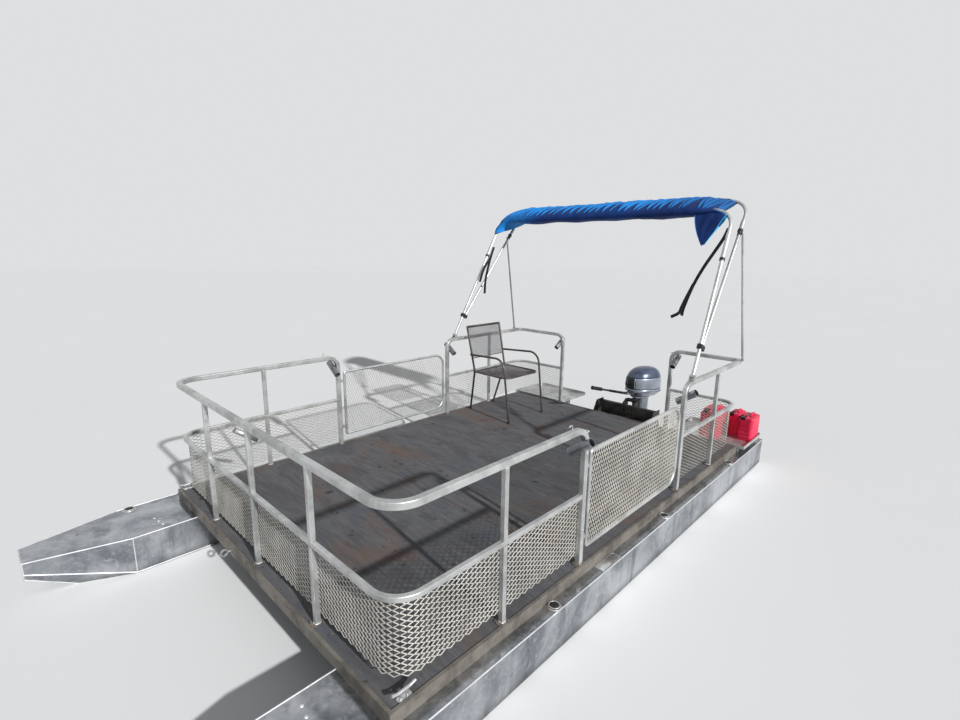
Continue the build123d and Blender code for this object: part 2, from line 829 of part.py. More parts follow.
blade_pitch = 32
with BuildPart() as propeller:
    with BuildSketch(prop_plane):
        Circle(25)
    extrude(amount=64)
    with BuildPart(mode=Mode.PRIVATE) as blade:
        radial = prop_plane.x_dir
        pitch = radians(blade_pitch)
        chord_dir = prop_plane.z_dir * sin(pitch) + prop_plane.y_dir * cos(pitch)
        for reach, chord, thickness in (
            (18, 24, 3.4),
            (0.33 * propeller_diameter, 36, 2.8),
            (0.5 * propeller_diameter, 13, 1.2),
        ):
            root = prop_plane.origin + prop_plane.z_dir * 34 + radial * reach
            with BuildSketch(Plane(origin=root, x_dir=chord_dir, z_dir=radial)):
                Ellipse(chord, thickness)
        loft()
    for turn in range(3):
        add(blade.part.rotate(Axis(prop_plane.origin, prop_plane.z_dir), 120 * turn))
    with BuildSketch(prop_plane):
        Circle(propeller_shaft / 2 + running_fit)
    extrude(amount=46, mode=Mode.SUBTRACT)
save(propeller, "propeller")

pan_z = swivel_top + 36
tiller_pivot = Vector(steer_x, motor_side, pan_z + 24) + motor_ahead * tiller_pivot_ahead
tiller_side = Plane(origin=tiller_pivot, x_dir=motor_ahead, z_dir=motor_ahead.cross(Vector(0, 0, 1)))
with BuildPart() as pan:
    with BuildSketch(motor_plane(pan_z)):
        with Locations((-92, 0)):
            RectangleRounded(250, 170, 60)
    with BuildSketch(motor_plane(pan_z + 50)):
        with Locations((-92, 0)):
            RectangleRounded(cowl_length - 12, cowl_width - 12, 90)
    loft()
    for edge in (-1, 1):
        with BuildSketch(tiller_side.offset(edge * (tiller_width / 2 + 4))):
            with Locations((-45, 0)):
                Rectangle(90, 24)
            Circle(12)
        extrude(amount=3, both=True)
    with BuildSketch(tiller_side):
        Circle(tiller_pin / 2)
    extrude(amount=tiller_width / 2 + 3, both=True)
save(pan, "motor_pan")

cowl_z = pan_z + 50
with BuildPart() as cowl:
    for level, length, width, corner, shift in (
        (0, cowl_length, cowl_width, 95, 0),
        (0.5 * cowl_height, cowl_length, cowl_width, 100, 0),
        (0.86 * cowl_height, cowl_length * 0.86, cowl_width * 0.84, 90, -6),
        (cowl_height, cowl_length * 0.56, cowl_width * 0.52, 60, -14),
    ):
        with BuildSketch(motor_plane(cowl_z + level)):
            with Locations((-92 + shift, 0)):
                RectangleRounded(length, width, corner)
    loft()
save(cowl, "motor_cowl")

grip_length = 120
with BuildPart() as tiller:
    along = motor_ahead * cos(radians(tiller_rise)) + Vector(0, 0, sin(radians(tiller_rise)))
    arm = Plane(origin=tiller_pivot, x_dir=tiller_side.z_dir, z_dir=along)
    with BuildSketch(arm):
        RectangleRounded(tiller_width - 1, 24, 8)
    extrude(amount=210)
    with BuildSketch(tiller_side):
        Circle(12)
    extrude(amount=tiller_width / 2 - 0.5, both=True)
    with BuildSketch(arm.offset(210)):
        Circle(10)
    extrude(amount=tiller_length - 210 - grip_length)
    with BuildSketch(arm.offset(tiller_length - grip_length)):
        Circle(17)
    extrude(amount=grip_length)
    with BuildSketch(tiller_side):
        Circle(tiller_pin / 2 + running_fit)
    extrude(amount=tiller_width, both=True, mode=Mode.SUBTRACT)
save(tiller, "motor_tiller")

# Folding top: mounts, two hoops, rolled canvas in its boot and two struts
pivot_x = aft_post_x - mount_from_post
pivot_z = rail_z + rail_size / 2 + pivot_above_rail


def leg_y(along):
    """Half width between the legs, a distance up from the pivots."""
    return fence_y - hoop_top_inset * along / hoop_height


def hoop_plane(lean, along=0, behind=0):
    """Plane of a hoop: X to port, Y up along its legs, from a point at or behind the main hoop."""
    main_up = Vector(-sin(radians(hoop_lean)), 0, cos(radians(hoop_lean)))
    main_aft = Vector(-cos(radians(hoop_lean)), 0, -sin(radians(hoop_lean)))
    origin = Vector(pivot_x, 0, pivot_z) + main_up * along + main_aft * behind
    up = Vector(-sin(radians(lean)), 0, cos(radians(lean)))
    return Plane(origin=origin, x_dir=(0, 1, 0), z_dir=Vector(0, 1, 0).cross(up))


def hoop_route(plane, low_y, high_y, height, bend):
    """Route of one hoop, up one leg, across and down the other."""
    corners = [(low_y, 0), (high_y, height), (-high_y, height), (-low_y, 0)]
    with BuildLine() as route:
        FilletPolyline(*[plane.from_local_coords((x, y, 0)) for x, y in corners], radius=bend)
    return route


main_plane = hoop_plane(hoop_lean)
second_plane = hoop_plane(second_lean, second_joint, second_gap)
second_low_y = leg_y(second_joint)
second_high_y = second_low_y - second_top_inset
main_route = hoop_route(main_plane, fence_y, leg_y(hoop_height), hoop_height, hoop_bend)
second_route = hoop_route(second_plane, second_low_y, second_high_y, second_height, second_bend)


def hoop_tube_along(route, diameter, mode=Mode.ADD):
    """Round tube along a hoop, added to or cut from the piece being built."""
    with BuildSketch(Plane(origin=route.line @ 0, z_dir=route.line % 0)) as section:
        Circle(diameter / 2)
    sweep(section.sketch, path=route.line, mode=mode)


# Mounts: a pad on each rail with two ears, and a pin that the main hoop turns on
ear_y = hoop_tube / 2 + 2
with BuildPart() as mounts:
    for sign in SIDES.values():
        middle = sign * leg_y(0)
        block(
            (pivot_x - mount_length / 2, pivot_x + mount_length / 2),
            (middle - ear_y - mount_wall, middle + ear_y + mount_wall),
            (rail_z + rail_size / 2, rail_z + rail_size / 2 + mount_wall),
        )
        for edge in (-1, 1):
            face_y = middle + edge * (ear_y + mount_wall / 2)
            with BuildSketch(Plane.XZ.offset(-face_y)):
                with BuildLine():
                    Polyline(
                        (pivot_x + 20, rail_z + rail_size / 2 + mount_wall),
                        (pivot_x + 12, pivot_z + 10),
                        (pivot_x - 12, pivot_z + 10),
                        (pivot_x - 20, rail_z + rail_size / 2 + mount_wall),
                        close=True,
                    )
                make_face()
            extrude(amount=mount_wall / 2, both=True)
        with Locations(Location((pivot_x, middle, pivot_z), (90, 0, 0))):
            Cylinder(pivot_pin / 2, 2 * (ear_y + mount_wall) + 8)
save(mounts, "top_mounts")

# Hoops: the main one ends in flat eyes on the mount pins
with BuildPart() as main_hoop:
    hoop_tube_along(main_route, hoop_tube)
    for sign in SIDES.values():
        with Locations(Location((pivot_x, sign * leg_y(0), pivot_z), (90, 0, 0))):
            Cylinder(hoop_eye / 2, hoop_tube + 2)
            Cylinder(pivot_pin / 2 + hinge_clearance, 2 * hoop_tube, mode=Mode.SUBTRACT)
save(main_hoop, "top_main_hoop")

with BuildPart() as second_hoop:
    hoop_tube_along(second_route, hoop_tube)
save(second_hoop, "top_second_hoop")

# Clamps that carry the second hoop on the main one
clamp_length = 34
clamp_wall = 5
with BuildPart() as clamps:
    for sign in SIDES.values():
        with BuildSketch(main_plane.offset(hoop_tube / 2 + clamp_wall)):
            with Locations((sign * leg_y(second_joint), second_joint)):
                Rectangle(hoop_tube + 2 * clamp_wall, clamp_length)
        extrude(amount=-second_gap - hoop_tube - 2 * clamp_wall)
    hoop_tube_along(main_route, hoop_tube + 0.2, Mode.SUBTRACT)
    hoop_tube_along(second_route, hoop_tube + 0.2, Mode.SUBTRACT)
save(clamps, "top_hoop_clamps")

# Sleeves over the hoops below their bends, each closed by a collar
sleeves_at = (
    (main_plane, leg_y(0), hoop_top_inset / hoop_height, hoop_height - hoop_bend, sleeve_length),
    (second_plane, second_low_y, second_top_inset / second_height, second_height - second_bend, short_sleeve),
)


def leg_plane(plane, low_y, slope, along, sign):
    """Plane across a hoop's leg, a distance up from its foot."""
    up = plane.y_dir - plane.x_dir * (sign * slope)
    return Plane(origin=plane.from_local_coords((sign * (low_y - slope * along), along, 0)), z_dir=up)


with BuildPart() as sleeves:
    for plane, low_y, slope, bend_at, length in sleeves_at:
        for sign in SIDES.values():
            start = bend_at - sleeve_from_bend - length
            with BuildSketch(leg_plane(plane, low_y, slope, start, sign)) as section:
                Circle(sleeve_tube / 2)
                Circle(hoop_tube / 2 + 0.1, mode=Mode.SUBTRACT)
            extrude(section.sketch, amount=length)
save(sleeves, "top_hoop_sleeves")

with BuildPart() as collars:
    for plane, low_y, slope, bend_at, length in sleeves_at:
        for sign in SIDES.values():
            start = bend_at - sleeve_from_bend - length - collar_length - 0.5
            with BuildSketch(leg_plane(plane, low_y, slope, start, sign)) as section:
                Circle(collar_diameter / 2)
                Circle(hoop_tube / 2 + 0.1, mode=Mode.SUBTRACT)
            extrude(section.sketch, amount=collar_length)
save(collars, "top_sleeve_collars")

# Canvas rolled round both hoops in its boot, from near the port bend down the starboard bend
main_y, main_z = leg_y(hoop_height), hoop_height
second_y, second_z = second_high_y, second_height
round_share = 1 - cos(radians(45))


def boot_station(main_point, second_point, turn):
    """Oval section of the rolled canvas round a point of each hoop."""
    low = main_plane.from_local_coords((*main_point, 0))
    high = second_plane.from_local_coords((*second_point, 0))
    across = (high - low).normalized()
    run = Vector(0, -cos(radians(turn)), -sin(radians(turn)))
    face = Plane(origin=(low + high) / 2, x_dir=across, z_dir=run - across * run.dot(across))
    with BuildSketch(face) as section:
        Ellipse((high - low).length / 2 + boot_cover, boot_thickness / 2)
    return section.sketch


with BuildPart() as boot:
    extrude(
        boot_station((boot_end, main_z), (boot_end, second_z), 0),
        amount=boot_end + main_y - hoop_bend,
        dir=(0, -1, 0),
    )
    loft(
        sections=[
            boot_station((hoop_bend - main_y, main_z), (hoop_bend - main_y, second_z), 0),
            boot_station(
                (round_share * hoop_bend - main_y, main_z - round_share * hoop_bend),
                (round_share * second_bend - second_y, second_z - round_share * second_bend),
                45,
            ),
            boot_station((-main_y, main_z - hoop_bend), (-second_y, second_z - second_bend), 85),
        ]
    )
    hoop_tube_along(main_route, hoop_tube + 0.8, Mode.SUBTRACT)
    hoop_tube_along(second_route, hoop_tube + 0.8, Mode.SUBTRACT)
save(boot, "top_canvas_boot")

# Struts from brackets near the stern corners of the rails to the second hoop
strut_foot_z = rail_z + rail_size / 2 + 16
strut_foot = Vector(fence_stern + strut_from_corner, fence_y + strut_foot_outboard, strut_foot_z)
head_on_hoop = second_plane.from_local_coords((0, strut_on_hoop, 0))
strut_head = Vector(head_on_hoop.X, strut_foot.Y - strut_head_inboard, head_on_hoop.Z)
leg_at_strut = second_low_y - second_top_inset * strut_on_hoop / second_height
bracket_wall = 4
with BuildPart() as brackets:
    for sign in SIDES.values():
        block(
            (strut_foot.X - 18, strut_foot.X + 18),
            (sign * (fence_y - rail_size / 2), sign * (strut_foot.Y + 12)),
            (rail_z + rail_size / 2, rail_z + rail_size / 2 + bracket_wall),
        )
        for edge in (-1, 1):
            inner = strut_foot.Y + edge * (strut_eye_thickness / 2 + 1)
            block(
                (strut_foot.X - 9, strut_foot.X + 9),
                (sign * inner, sign * (inner + edge * bracket_wall)),
                (rail_z + rail_size / 2 + bracket_wall, strut_foot.Z + 9),
            )
        with Locations(Location((strut_foot.X, sign * strut_foot.Y, strut_foot.Z), (90, 0, 0))):
            Cylinder(strut_pin / 2, strut_eye_thickness + 2 * bracket_wall + 4)
save(brackets, "top_strut_brackets")

for side, sign in SIDES.items():
    foot = Vector(strut_foot.X, sign * strut_foot.Y, strut_foot.Z)
    head = Vector(strut_head.X, sign * strut_head.Y, strut_head.Z)
    up = (head - foot).normalized()
    level_up = Vector(up.X, 0, up.Z).normalized()
    with BuildPart() as strut:
        with BuildSketch(Plane(origin=foot + up * 0.5 * strut_flat, z_dir=up)):
            Circle(strut_tube / 2)
        extrude(amount=(head - foot).length - strut_flat)
        for eye_at, inward in ((foot, 1), (head, -1)):
            with BuildSketch(Plane(origin=eye_at, x_dir=level_up, z_dir=(0, -1, 0))):
                with Locations((inward * strut_flat / 2, 0)):
                    Rectangle(strut_flat, strut_eye)
                Circle(strut_eye / 2)
                Circle(strut_pin / 2 + hinge_clearance, mode=Mode.SUBTRACT)
            extrude(amount=strut_eye_thickness / 2, both=True)
    save(strut, f"top_strut_{side}")

# Studs on the second hoop that the strut heads close on
with BuildPart() as studs:
    for sign in SIDES.values():
        outer = strut_head.Y - strut_eye_thickness / 2 - 1
        stud_length = outer - leg_at_strut
        with Locations(Location((strut_head.X, sign * (outer - stud_length / 2), strut_head.Z), (90, 0, 0))):
            Cylinder(strut_eye / 2, stud_length)
        low = second_plane.from_local_coords((sign * leg_at_strut, strut_on_hoop - 14, 0))
        with BuildSketch(Plane(origin=low, z_dir=second_plane.y_dir)):
            Circle(hoop_tube / 2 + 2)
        extrude(amount=28)
    hoop_tube_along(second_route, hoop_tube + 0.2, Mode.SUBTRACT)
save(studs, "top_strut_studs")


def chair_point(across, ahead, up):
    """Point of the chair: across to its left, ahead of the back of its seat, above the deck."""
    return (chair_x - across, chair_y + ahead, deck_top + up)


# Patio chair: bent side tubes, a seat ring and cross bars
with BuildPart() as chair:
    for hand in (-1, 1):
        round_run(
            [
                chair_point(hand * chair_back_half, -chair_back_lean, chair_back_height),
                chair_point(hand * (chair_back_half - 12), 0, chair_seat_height),
                chair_point(hand * chair_foot_half, chair_rear_reach, chair_glide / 3),
            ],
            [150],
            chair_tube,
        )
        round_run(
            [
                chair_point(hand * (chair_back_half - 4), -52, chair_arm_height - 26),
                chair_point(hand * (chair_front_half + 8), 0.84 * chair_front_reach, chair_arm_height),
                chair_point(hand * chair_front_half, chair_front_reach, chair_glide / 3),
            ],
            [115],
            chair_tube,
        )
        for across, ahead in ((chair_foot_half, chair_rear_reach), (chair_front_half, chair_front_reach)):
            with Locations(chair_point(hand * across, ahead, 0)):
                Cylinder(chair_glide / 2, chair_glide, align=(Align.CENTER, Align.CENTER, Align.MIN))
    with BuildLine() as ring:
        FilletPolyline(
            *[
                chair_point(across, ahead, chair_seat_height)
                for across, ahead in (
                    (chair_front_half - 14, 8),
                    (chair_front_half - 14, chair_seat_depth),
                    (14 - chair_front_half, chair_seat_depth),
                    (14 - chair_front_half, 8),
                )
            ],
            radius=[40, 75, 75, 40],
            close=True,
        )
    with BuildSketch(section_plane(ring)):
        Circle(chair_ring_tube / 2)
    sweep(path=ring.line)
    top_bar = [chair_point(hand * chair_back_half, -chair_back_lean, chair_back_height) for hand in (-1, 1)]
    round_run(top_bar, [], chair_tube)
save(chair, "chair_frame")

# Woven seat and back of the chair
back_slope = chair_back_lean / (chair_back_height - chair_seat_height)
with BuildPart() as chair_mesh:
    with BuildSketch(Plane.XY.offset(deck_top + chair_seat_height - chair_mesh_thickness / 2)):
        with Locations((chair_x, chair_y + 8 + (chair_seat_depth - 8) / 2)):
            RectangleRounded(
                2 * (chair_front_half - 14) - chair_ring_tube - 0.4,
                chair_seat_depth - 8 - chair_ring_tube - 0.4,
                67,
            )
    extrude(amount=chair_mesh_thickness)
    back_low = Vector(*chair_point(0, -back_slope * chair_back_gap, chair_seat_height + chair_back_gap))
    back_up = Vector(0, -back_slope, 1).normalized()
    back_rise = (chair_back_height - chair_seat_height - chair_back_gap) / back_up.Z - chair_tube / 2
    with BuildSketch(Plane(origin=back_low, x_dir=(1, 0, 0), z_dir=Vector(1, 0, 0).cross(back_up))):
        with BuildLine():
            Polyline(
                (12 + chair_tube / 2 - chair_back_half, 0),
                (chair_back_half - chair_tube / 2 - 12, 0),
                (chair_back_half - chair_tube / 2 - 1, back_rise - 1),
                (1 + chair_tube / 2 - chair_back_half, back_rise - 1),
                close=True,
            )
        make_face()
    extrude(amount=chair_mesh_thickness / 2, both=True)
save(chair_mesh, "chair_mesh")

# Fuel tanks on the port shelf: bodies with a notch at the inboard corner for the cap
# Columns: name, middle from the stern and from the shelf's edge, length, width, height
tanks = (
    ("outer", outer_tank_from_stern, outer_tank_from_edge, 225, 120, 212),
    ("middle", middle_tank_from_stern, middle_tank_from_edge, 190, 108, 205),
    ("inner", inner_tank_from_stern, inner_tank_from_edge, 280, 165, 235),
)
cap_diameter = 42
cap_height = 26
notch_depth = 28
notch_length = 85
notch_share = 0.45  # of the width
for name, from_stern, from_edge, length, width, height in tanks:
    floor = Plane((stern_x + from_stern, shelf_outer - from_edge, shelf_top))
    with BuildPart() as tank:
        with BuildSketch(floor):
            RectangleRounded(length, width, 26)
        extrude(amount=height)
        fillet(tank.faces().sort_by(Axis.Z)[-1].edges(), 14)
        with BuildSketch(floor.offset(height - notch_depth)):
            with Locations((length / 2 + 1, -width / 2 - 1)):
                Rectangle(notch_length + 1, width * notch_share + 1, align=(Align.MAX, Align.MIN))
        extrude(amount=notch_depth, mode=Mode.SUBTRACT)
    save(tank, f"fuel_tank_{name}")

with BuildPart() as caps:
    for name, from_stern, from_edge, length, width, height in tanks:
        floor = Plane((stern_x + from_stern, shelf_outer - from_edge, shelf_top))
        with BuildSketch(floor.offset(height - notch_depth)):
            with Locations(((length - notch_length) / 2, width * (notch_share - 1) / 2)):
                Circle(cap_diameter / 2)
        extrude(amount=cap_height)
save(caps, "fuel_caps")
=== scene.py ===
from math import cos, pi, radians, sin, sqrt, tan

import bpy
import numpy as np
from mathutils import Matrix, Vector


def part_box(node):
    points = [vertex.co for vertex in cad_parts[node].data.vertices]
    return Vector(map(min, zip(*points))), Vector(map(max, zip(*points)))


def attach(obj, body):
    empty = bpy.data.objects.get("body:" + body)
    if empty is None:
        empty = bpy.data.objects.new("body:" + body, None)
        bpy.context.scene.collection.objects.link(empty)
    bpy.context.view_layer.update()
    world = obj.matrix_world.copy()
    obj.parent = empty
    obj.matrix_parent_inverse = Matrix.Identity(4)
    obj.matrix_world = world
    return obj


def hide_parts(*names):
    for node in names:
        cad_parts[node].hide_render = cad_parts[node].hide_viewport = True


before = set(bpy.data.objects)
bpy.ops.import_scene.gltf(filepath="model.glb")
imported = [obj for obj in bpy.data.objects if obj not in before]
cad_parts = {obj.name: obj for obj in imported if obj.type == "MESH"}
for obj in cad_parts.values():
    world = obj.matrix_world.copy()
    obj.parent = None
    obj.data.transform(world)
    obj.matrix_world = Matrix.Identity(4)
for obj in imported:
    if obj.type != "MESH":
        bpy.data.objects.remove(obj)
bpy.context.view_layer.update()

# Hull and fence, in metres
waterline = 0.267
deck_top = 0.556
rail_z = 1.314
mid_rail_z = 0.949
mesh_low = 0.604
fence_y = 1.189
fence_bow = 1.620
fence_stern = -1.930
gate_post_x = 0.429
aft_post_x = -0.787
inner_post_y = 0.598
rail_size = 0.032
post_size = 0.025
mesh_thickness = 0.003
gate_tube = 0.022
gate_gap = 0.030
gate_corner = 0.100
pontoon_tip = 2.490
pontoon_top = 0.500
pontoon_y = 1.065
pontoon_length = 4.980
pontoon_shoulder = 0.480  # tip to the full width
pontoon_knee = 0.900  # tip to the full depth
sides = (("port", 1), ("starboard", -1))

# Expanded metal
cell_length = 0.052
cell_height = 0.0240
bond_share = 0.07
strand = (0.0034, 0.0016)  # width, thickness
mesh_bend = 0.116
mesh_y = fence_y - post_size / 2 - mesh_thickness / 2
mesh_bow = fence_bow - post_size / 2 - mesh_thickness / 2
mesh_stern = fence_stern + post_size / 2 + mesh_thickness / 2
mid_rail_front = gate_post_x + rail_size / 2

# Folding top
hoop_lean = 28.3
hoop_height = 1.295
hoop_top_inset = 0.052
hoop_bend = 0.150
pivot_x = -0.893
pivot_z = 1.356
second_joint = 0.218
second_lean = 37.6
second_gap = 0.030
second_height = 1.335
second_bend = 0.170
second_top_inset = 0.044
boot_turn = 30  # degrees of the port bend that the boot covers
boot_end_turn = 88
boot_cover = 0.042
boot_thickness = 0.124
boot_around = 84
pleat_spacing = 0.062
pleat_height = 0.0105
flap_tip = (0.975, 0.998)  # y, distance up the hoop
strap_width = 0.025
strap_thickness = 0.0016

# Chair
chair_x = -1.255
chair_y = -1.036
seat_height = 0.430
seat_depth = 0.450
seat_half = 0.247
seat_corner = 0.067
seat_sag = 0.014
back_low = 0.560
back_height = 0.876
back_lean = 0.102
back_half = 0.232
back_bow = 0.006
net_cell = 0.012
net_strand = (0.0016, 0.0010)
net_rod = 0.004
net_inset = 0.008

# Outboard, steered to starboard
steer_axis = (-2.257, 0.110)
steer_angle = 25
cowl_base = 0.784
cowl_length = 0.372
cowl_width = 0.262
cowl_height = 0.250
cowl_middle = -0.092
cowl_squareness = 2.4
cowl_around = 96
cowl_front = 9  # faces on each side of the bow that stay dark
knob_z = 0.866
latch_half = 0.018
tiller_pivot = (0.114, 0.758)
tiller_rise = 13
tiller_length = 0.432
grip_length = 0.120
grip_pitch = 0.0085

# Weld beads and fixings
bead_radius = 0.004
bead_pitch = 0.008
screw_radius = 0.0045
screws_across = 12
screw_row_half = 1.13
bolt_radius = 0.0045
bolt_spacing = 0.040
foot_top = 0.561
beam_places = (1.600, 1.015, 0.430, -0.155, -0.740, -1.325, -1.910)
patch_place = (0.225, 1.252)
patch_size = (0.190, 0.056, 0.012)  # length, width, corner
hook_x = 0.552
hook_z = 1.326

# Fuel tanks
tank_corner = 0.026
rib_spacing = 0.036
handle_radius = 0.014
cap_inset = 0.0425
cap_ridges = 18

# Camera and light
focal_pixels = 501.1
image_width = 960
camera_place = (2.5091, 2.4582, 2.1614)
camera_heading = 224.06
camera_pitch = 12.02
camera_roll = 0.68
sun_strength = 4.0
sun_angle = 1.5
sun_way = (-0.12, -0.877, -0.467)
sky_strength = 0.26
sky_colour = (0.92, 0.96, 1.0, 1)
backdrop = (222, 223, 225)
floor_half = 60


# Node helpers
def linear(value):
    """Linear light of a display value from 0 to 1."""
    return value / 12.92 if value <= 0.04045 else ((value + 0.055) / 1.055) ** 2.4


def rgb(red, green, blue):
    """Linear colour of display values from 0 to 255."""
    return (linear(red / 255), linear(green / 255), linear(blue / 255), 1)


def node(tree, kind, inputs=(), **settings):
    """Outputs of a new node, whose inputs are numbers, colours or other nodes' outputs."""
    made = tree.nodes.new("ShaderNode" + kind)
    for key, value in settings.items():
        setattr(made, key, value)
    for socket, value in dict(inputs).items():
        if isinstance(value, bpy.types.NodeSocket):
            tree.links.new(value, made.inputs[socket])
        else:
            made.inputs[socket].default_value = value
    return made.outputs


class Paint:
    """One procedural material and the few node patterns that it is made of."""

    def __init__(self, name, values):
        self.material = bpy.data.materials.new(name)
        self.material.use_nodes = True
        self.tree = self.material.node_tree
        self.shader = self.tree.nodes["Principled BSDF"]
        self.place = node(self.tree, "TexCoord")["Object"]
        self.bumped = None
        for key, value in values.items():
            self.shader.inputs[key].default_value = value

    def pattern(self, kind, output, vector=None, **inputs):
        """Output of a node that reads the place, or another vector."""
        return node(self.tree, kind, {"Vector": vector or self.place, **inputs})[output]

    def stretched(self, *scale):
        return self.pattern("Mapping", "Vector", Scale=scale)

    def noise(self, scale, detail=4, rough=0.55, vector=None, distortion=0.0):
        values = {"Scale": scale, "Detail": detail, "Roughness": rough, "Distortion": distortion}
        return self.pattern("TexNoise", "Fac", vector, **values)

    def voronoi(self, scale):
        return self.pattern("TexVoronoi", "Distance", Scale=scale)

    def wave(self, scale, axis):
        values = {"Vector": self.place, "Scale": scale}
        return node(self.tree, "TexWave", values, bands_direction=axis)["Fac"]

    def part(self, axis, vector=None):
        return self.pattern("SeparateXYZ", axis, vector)

    def normal_part(self, axis):
        return self.part(axis, node(self.tree, "NewGeometry")["Normal"])

    def band(self, value, low, high, to_low=0.0, to_high=1.0):
        """Soft step between two numbers while a value goes from low to high."""
        inputs = dict(enumerate((value, low, high, to_low, to_high)))
        return node(self.tree, "MapRange", inputs, interpolation_type="SMOOTHSTEP")["Result"]

    def math(self, operation, first, second):
        return node(self.tree, "Math", {0: first, 1: second}, operation=operation)["Value"]

    def mix(self, share, first, second):
        """Mix of two colours, each an output or a display colour."""
        first, second = (rgb(*c) if isinstance(c, tuple) else c for c in (first, second))
        return node(self.tree, "Mix", {0: share, 6: first, 7: second}, data_type="RGBA")[2]

    def tones(self, value, low, high, first, second):
        """Start the colour with two tones."""
        self.tint = self.mix(self.band(value, low, high), first, second)

    def over(self, value, low, high, share, tone):
        """Lay a further tone over the colour, up to a share of it."""
        self.tint = self.mix(self.band(value, low, high, 0, share), self.tint, tone)

    def rough(self, value):
        self.tree.links.new(value, self.shader.inputs["Roughness"])

    def bump(self, height, strength, distance):
        inputs = {"Height": height, "Strength": strength, "Distance": distance}
        if self.bumped:
            inputs["Normal"] = self.bumped
        self.bumped = node(self.tree, "Bump", inputs)["Normal"]

    def done(self):
        self.tree.links.new(self.tint, self.shader.inputs["Base Color"])
        if self.bumped:
            self.tree.links.new(self.bumped, self.shader.inputs["Normal"])
        return self.material


def aluminium(name, light, dark, metallic, low, high, stain):
    """Bare aluminium: mottled oxide, small dark pits and fine scratches."""
    paint = Paint(name, {"Metallic": metallic})
    grime = paint.noise(34, 6, 0.7)
    paint.tones(paint.noise(7, 5, 0.6), 0.35, 0.68, light, dark)
    paint.over(grime, 0.56, 0.78, stain, (70, 64, 56))
    paint.over(paint.voronoi(95), 0.10, 0.03, 0.5, (60, 54, 48))
    paint.rough(paint.band(grime, 0.3, 0.75, low, high))
    paint.bump(grime, 0.25, 0.0008)
    paint.bump(paint.noise(420, 2), 0.12, 0.0003)
    return paint.done()


def hull_metal():
    """Pontoon sheet: dull plate with water marks, streaks and a dark line at the water."""
    paint = Paint("hull_metal", {"Metallic": 0.95})
    plate = paint.noise(2.2, 5, 0.62, distortion=0.6)
    streak = paint.noise(9, 5, 0.65, paint.stretched(1, 1, 0.14))
    fine = paint.noise(60, 5, 0.7)
    paint.tones(plate, 0.36, 0.64, (190, 193, 197), (128, 133, 139))
    paint.over(paint.noise(13, 7, 0.7, distortion=2.4), 0.5, 0.66, 0.4, (214, 216, 218))
    paint.over(streak, 0.52, 0.72, 0.6, (84, 87, 90))
    paint.over(fine, 0.6, 0.76, 0.35, (222, 222, 218))
    paint.over(paint.part("Z"), 0.335, 0.262, 0.62, (70, 72, 64))
    level = paint.band(paint.normal_part("Z"), 0.7, 0.95, 1, 0.45)
    paint.rough(paint.math("MULTIPLY", paint.band(streak, 0.3, 0.7, 0.26, 0.5), level))
    paint.bump(plate, 0.35, 0.006)
    paint.bump(fine, 0.2, 0.0008)
    return paint.done()


def deck_wood():
    """Weathered plywood: grey coat with fine grain across the boat, rusty patches, dark stains."""
    paint = Paint("deck_wood", {"Specular IOR Level": 0.22})
    grain = paint.noise(34, 8, 0.72, paint.stretched(1, 0.13, 1), 0.7)
    ring = paint.noise(3.4, 6, 0.6, paint.stretched(1, 0.35, 1), 1.6)
    patch = paint.noise(1.7, 6, 0.66, distortion=0.8)
    wear = paint.noise(5.5, 8, 0.74)
    paint.tones(grain, 0.3, 0.7, (84, 86, 91), (108, 107, 108))
    paint.over(ring, 0.46, 0.64, 0.4, (66, 64, 66))
    paint.over(patch, 0.5, 0.66, 0.5, (112, 92, 80))
    paint.over(paint.noise(9, 8, 0.76, distortion=1.2), 0.58, 0.68, 0.6, (112, 72, 54))
    paint.over(paint.noise(2.6, 5, 0.6), 0.42, 0.3, 0.5, (82, 88, 98))
    paint.over(wear, 0.6, 0.72, 0.5, (136, 126, 116))
    paint.over(paint.noise(14, 6, 0.7), 0.6, 0.68, 0.75, (34, 32, 33))
    paint.over(paint.voronoi(26), 0.09, 0.05, 0.6, (44, 38, 36))
    paint.rough(paint.band(patch, 0.35, 0.65, 0.7, 0.92))
    paint.bump(grain, 0.35, 0.0012)
    paint.bump(wear, 0.3, 0.0012)
    return paint.done()


def canvas_cloth():
    """Blue acrylic canvas: plain weave, with painted sunlight on faces turned to port and on the
    starboard end, and painted shade towards the port end.
    """
    paint = Paint("canvas_cloth", {"Roughness": 0.7, "Specular IOR Level": 0.25})
    across, along = paint.wave(330, "Y"), paint.wave(330, "DIAGONAL")
    # bright is the canvas blue as it looks in the sun, used below as painted sunlight
    bright = (26, 122, 196)
    paint.tones(paint.noise(3.2, 5, 0.6), 0.36, 0.66, (8, 44, 104), (12, 56, 124))
    # Darker navy towards the port end: painted shade, where that part of the roll faces away from the
    # sun
    paint.over(paint.part("Y"), 0.15, 0.7, 0.55, (12, 34, 84))
    # Painted sunlight: faces turned to port, towards the sun, get the brighter blue, less of it
    # towards the port end
    facing = paint.band(paint.normal_part("Y"), 0.1, 0.42)
    lit = paint.math("MULTIPLY", facing, paint.band(paint.part("Y"), 0.9, 0.3, 0.55, 1))
    paint.tint = paint.mix(lit, paint.tint, bright)
    # Painted sunlight on the starboard end, where the bend faces the sun
    paint.over(paint.part("Y"), -0.58, -1.0, 0.8, bright)
    paint.over(paint.noise(22, 5, 0.7), 0.6, 0.8, 0.15, (110, 140, 170))
    paint.bump(paint.math("ADD", across, along), 0.22, 0.0004)
    paint.bump(paint.noise(46, 5, 0.6), 0.22, 0.0018)
    return paint.done()


def painted_sunlit_cloth():
    """Inner face of the canvas, coloured as the canvas in painted sunlight: paler and brighter blue.
    """
    paint = Paint("painted_sunlit_cloth", {"Roughness": 0.8, "Sheen Weight": 0.2})
    paint.tones(paint.noise(9, 5, 0.6), 0.35, 0.65, (34, 160, 216), (70, 186, 232))
    paint.bump(paint.noise(60, 4), 0.3, 0.0015)
    return paint.done()


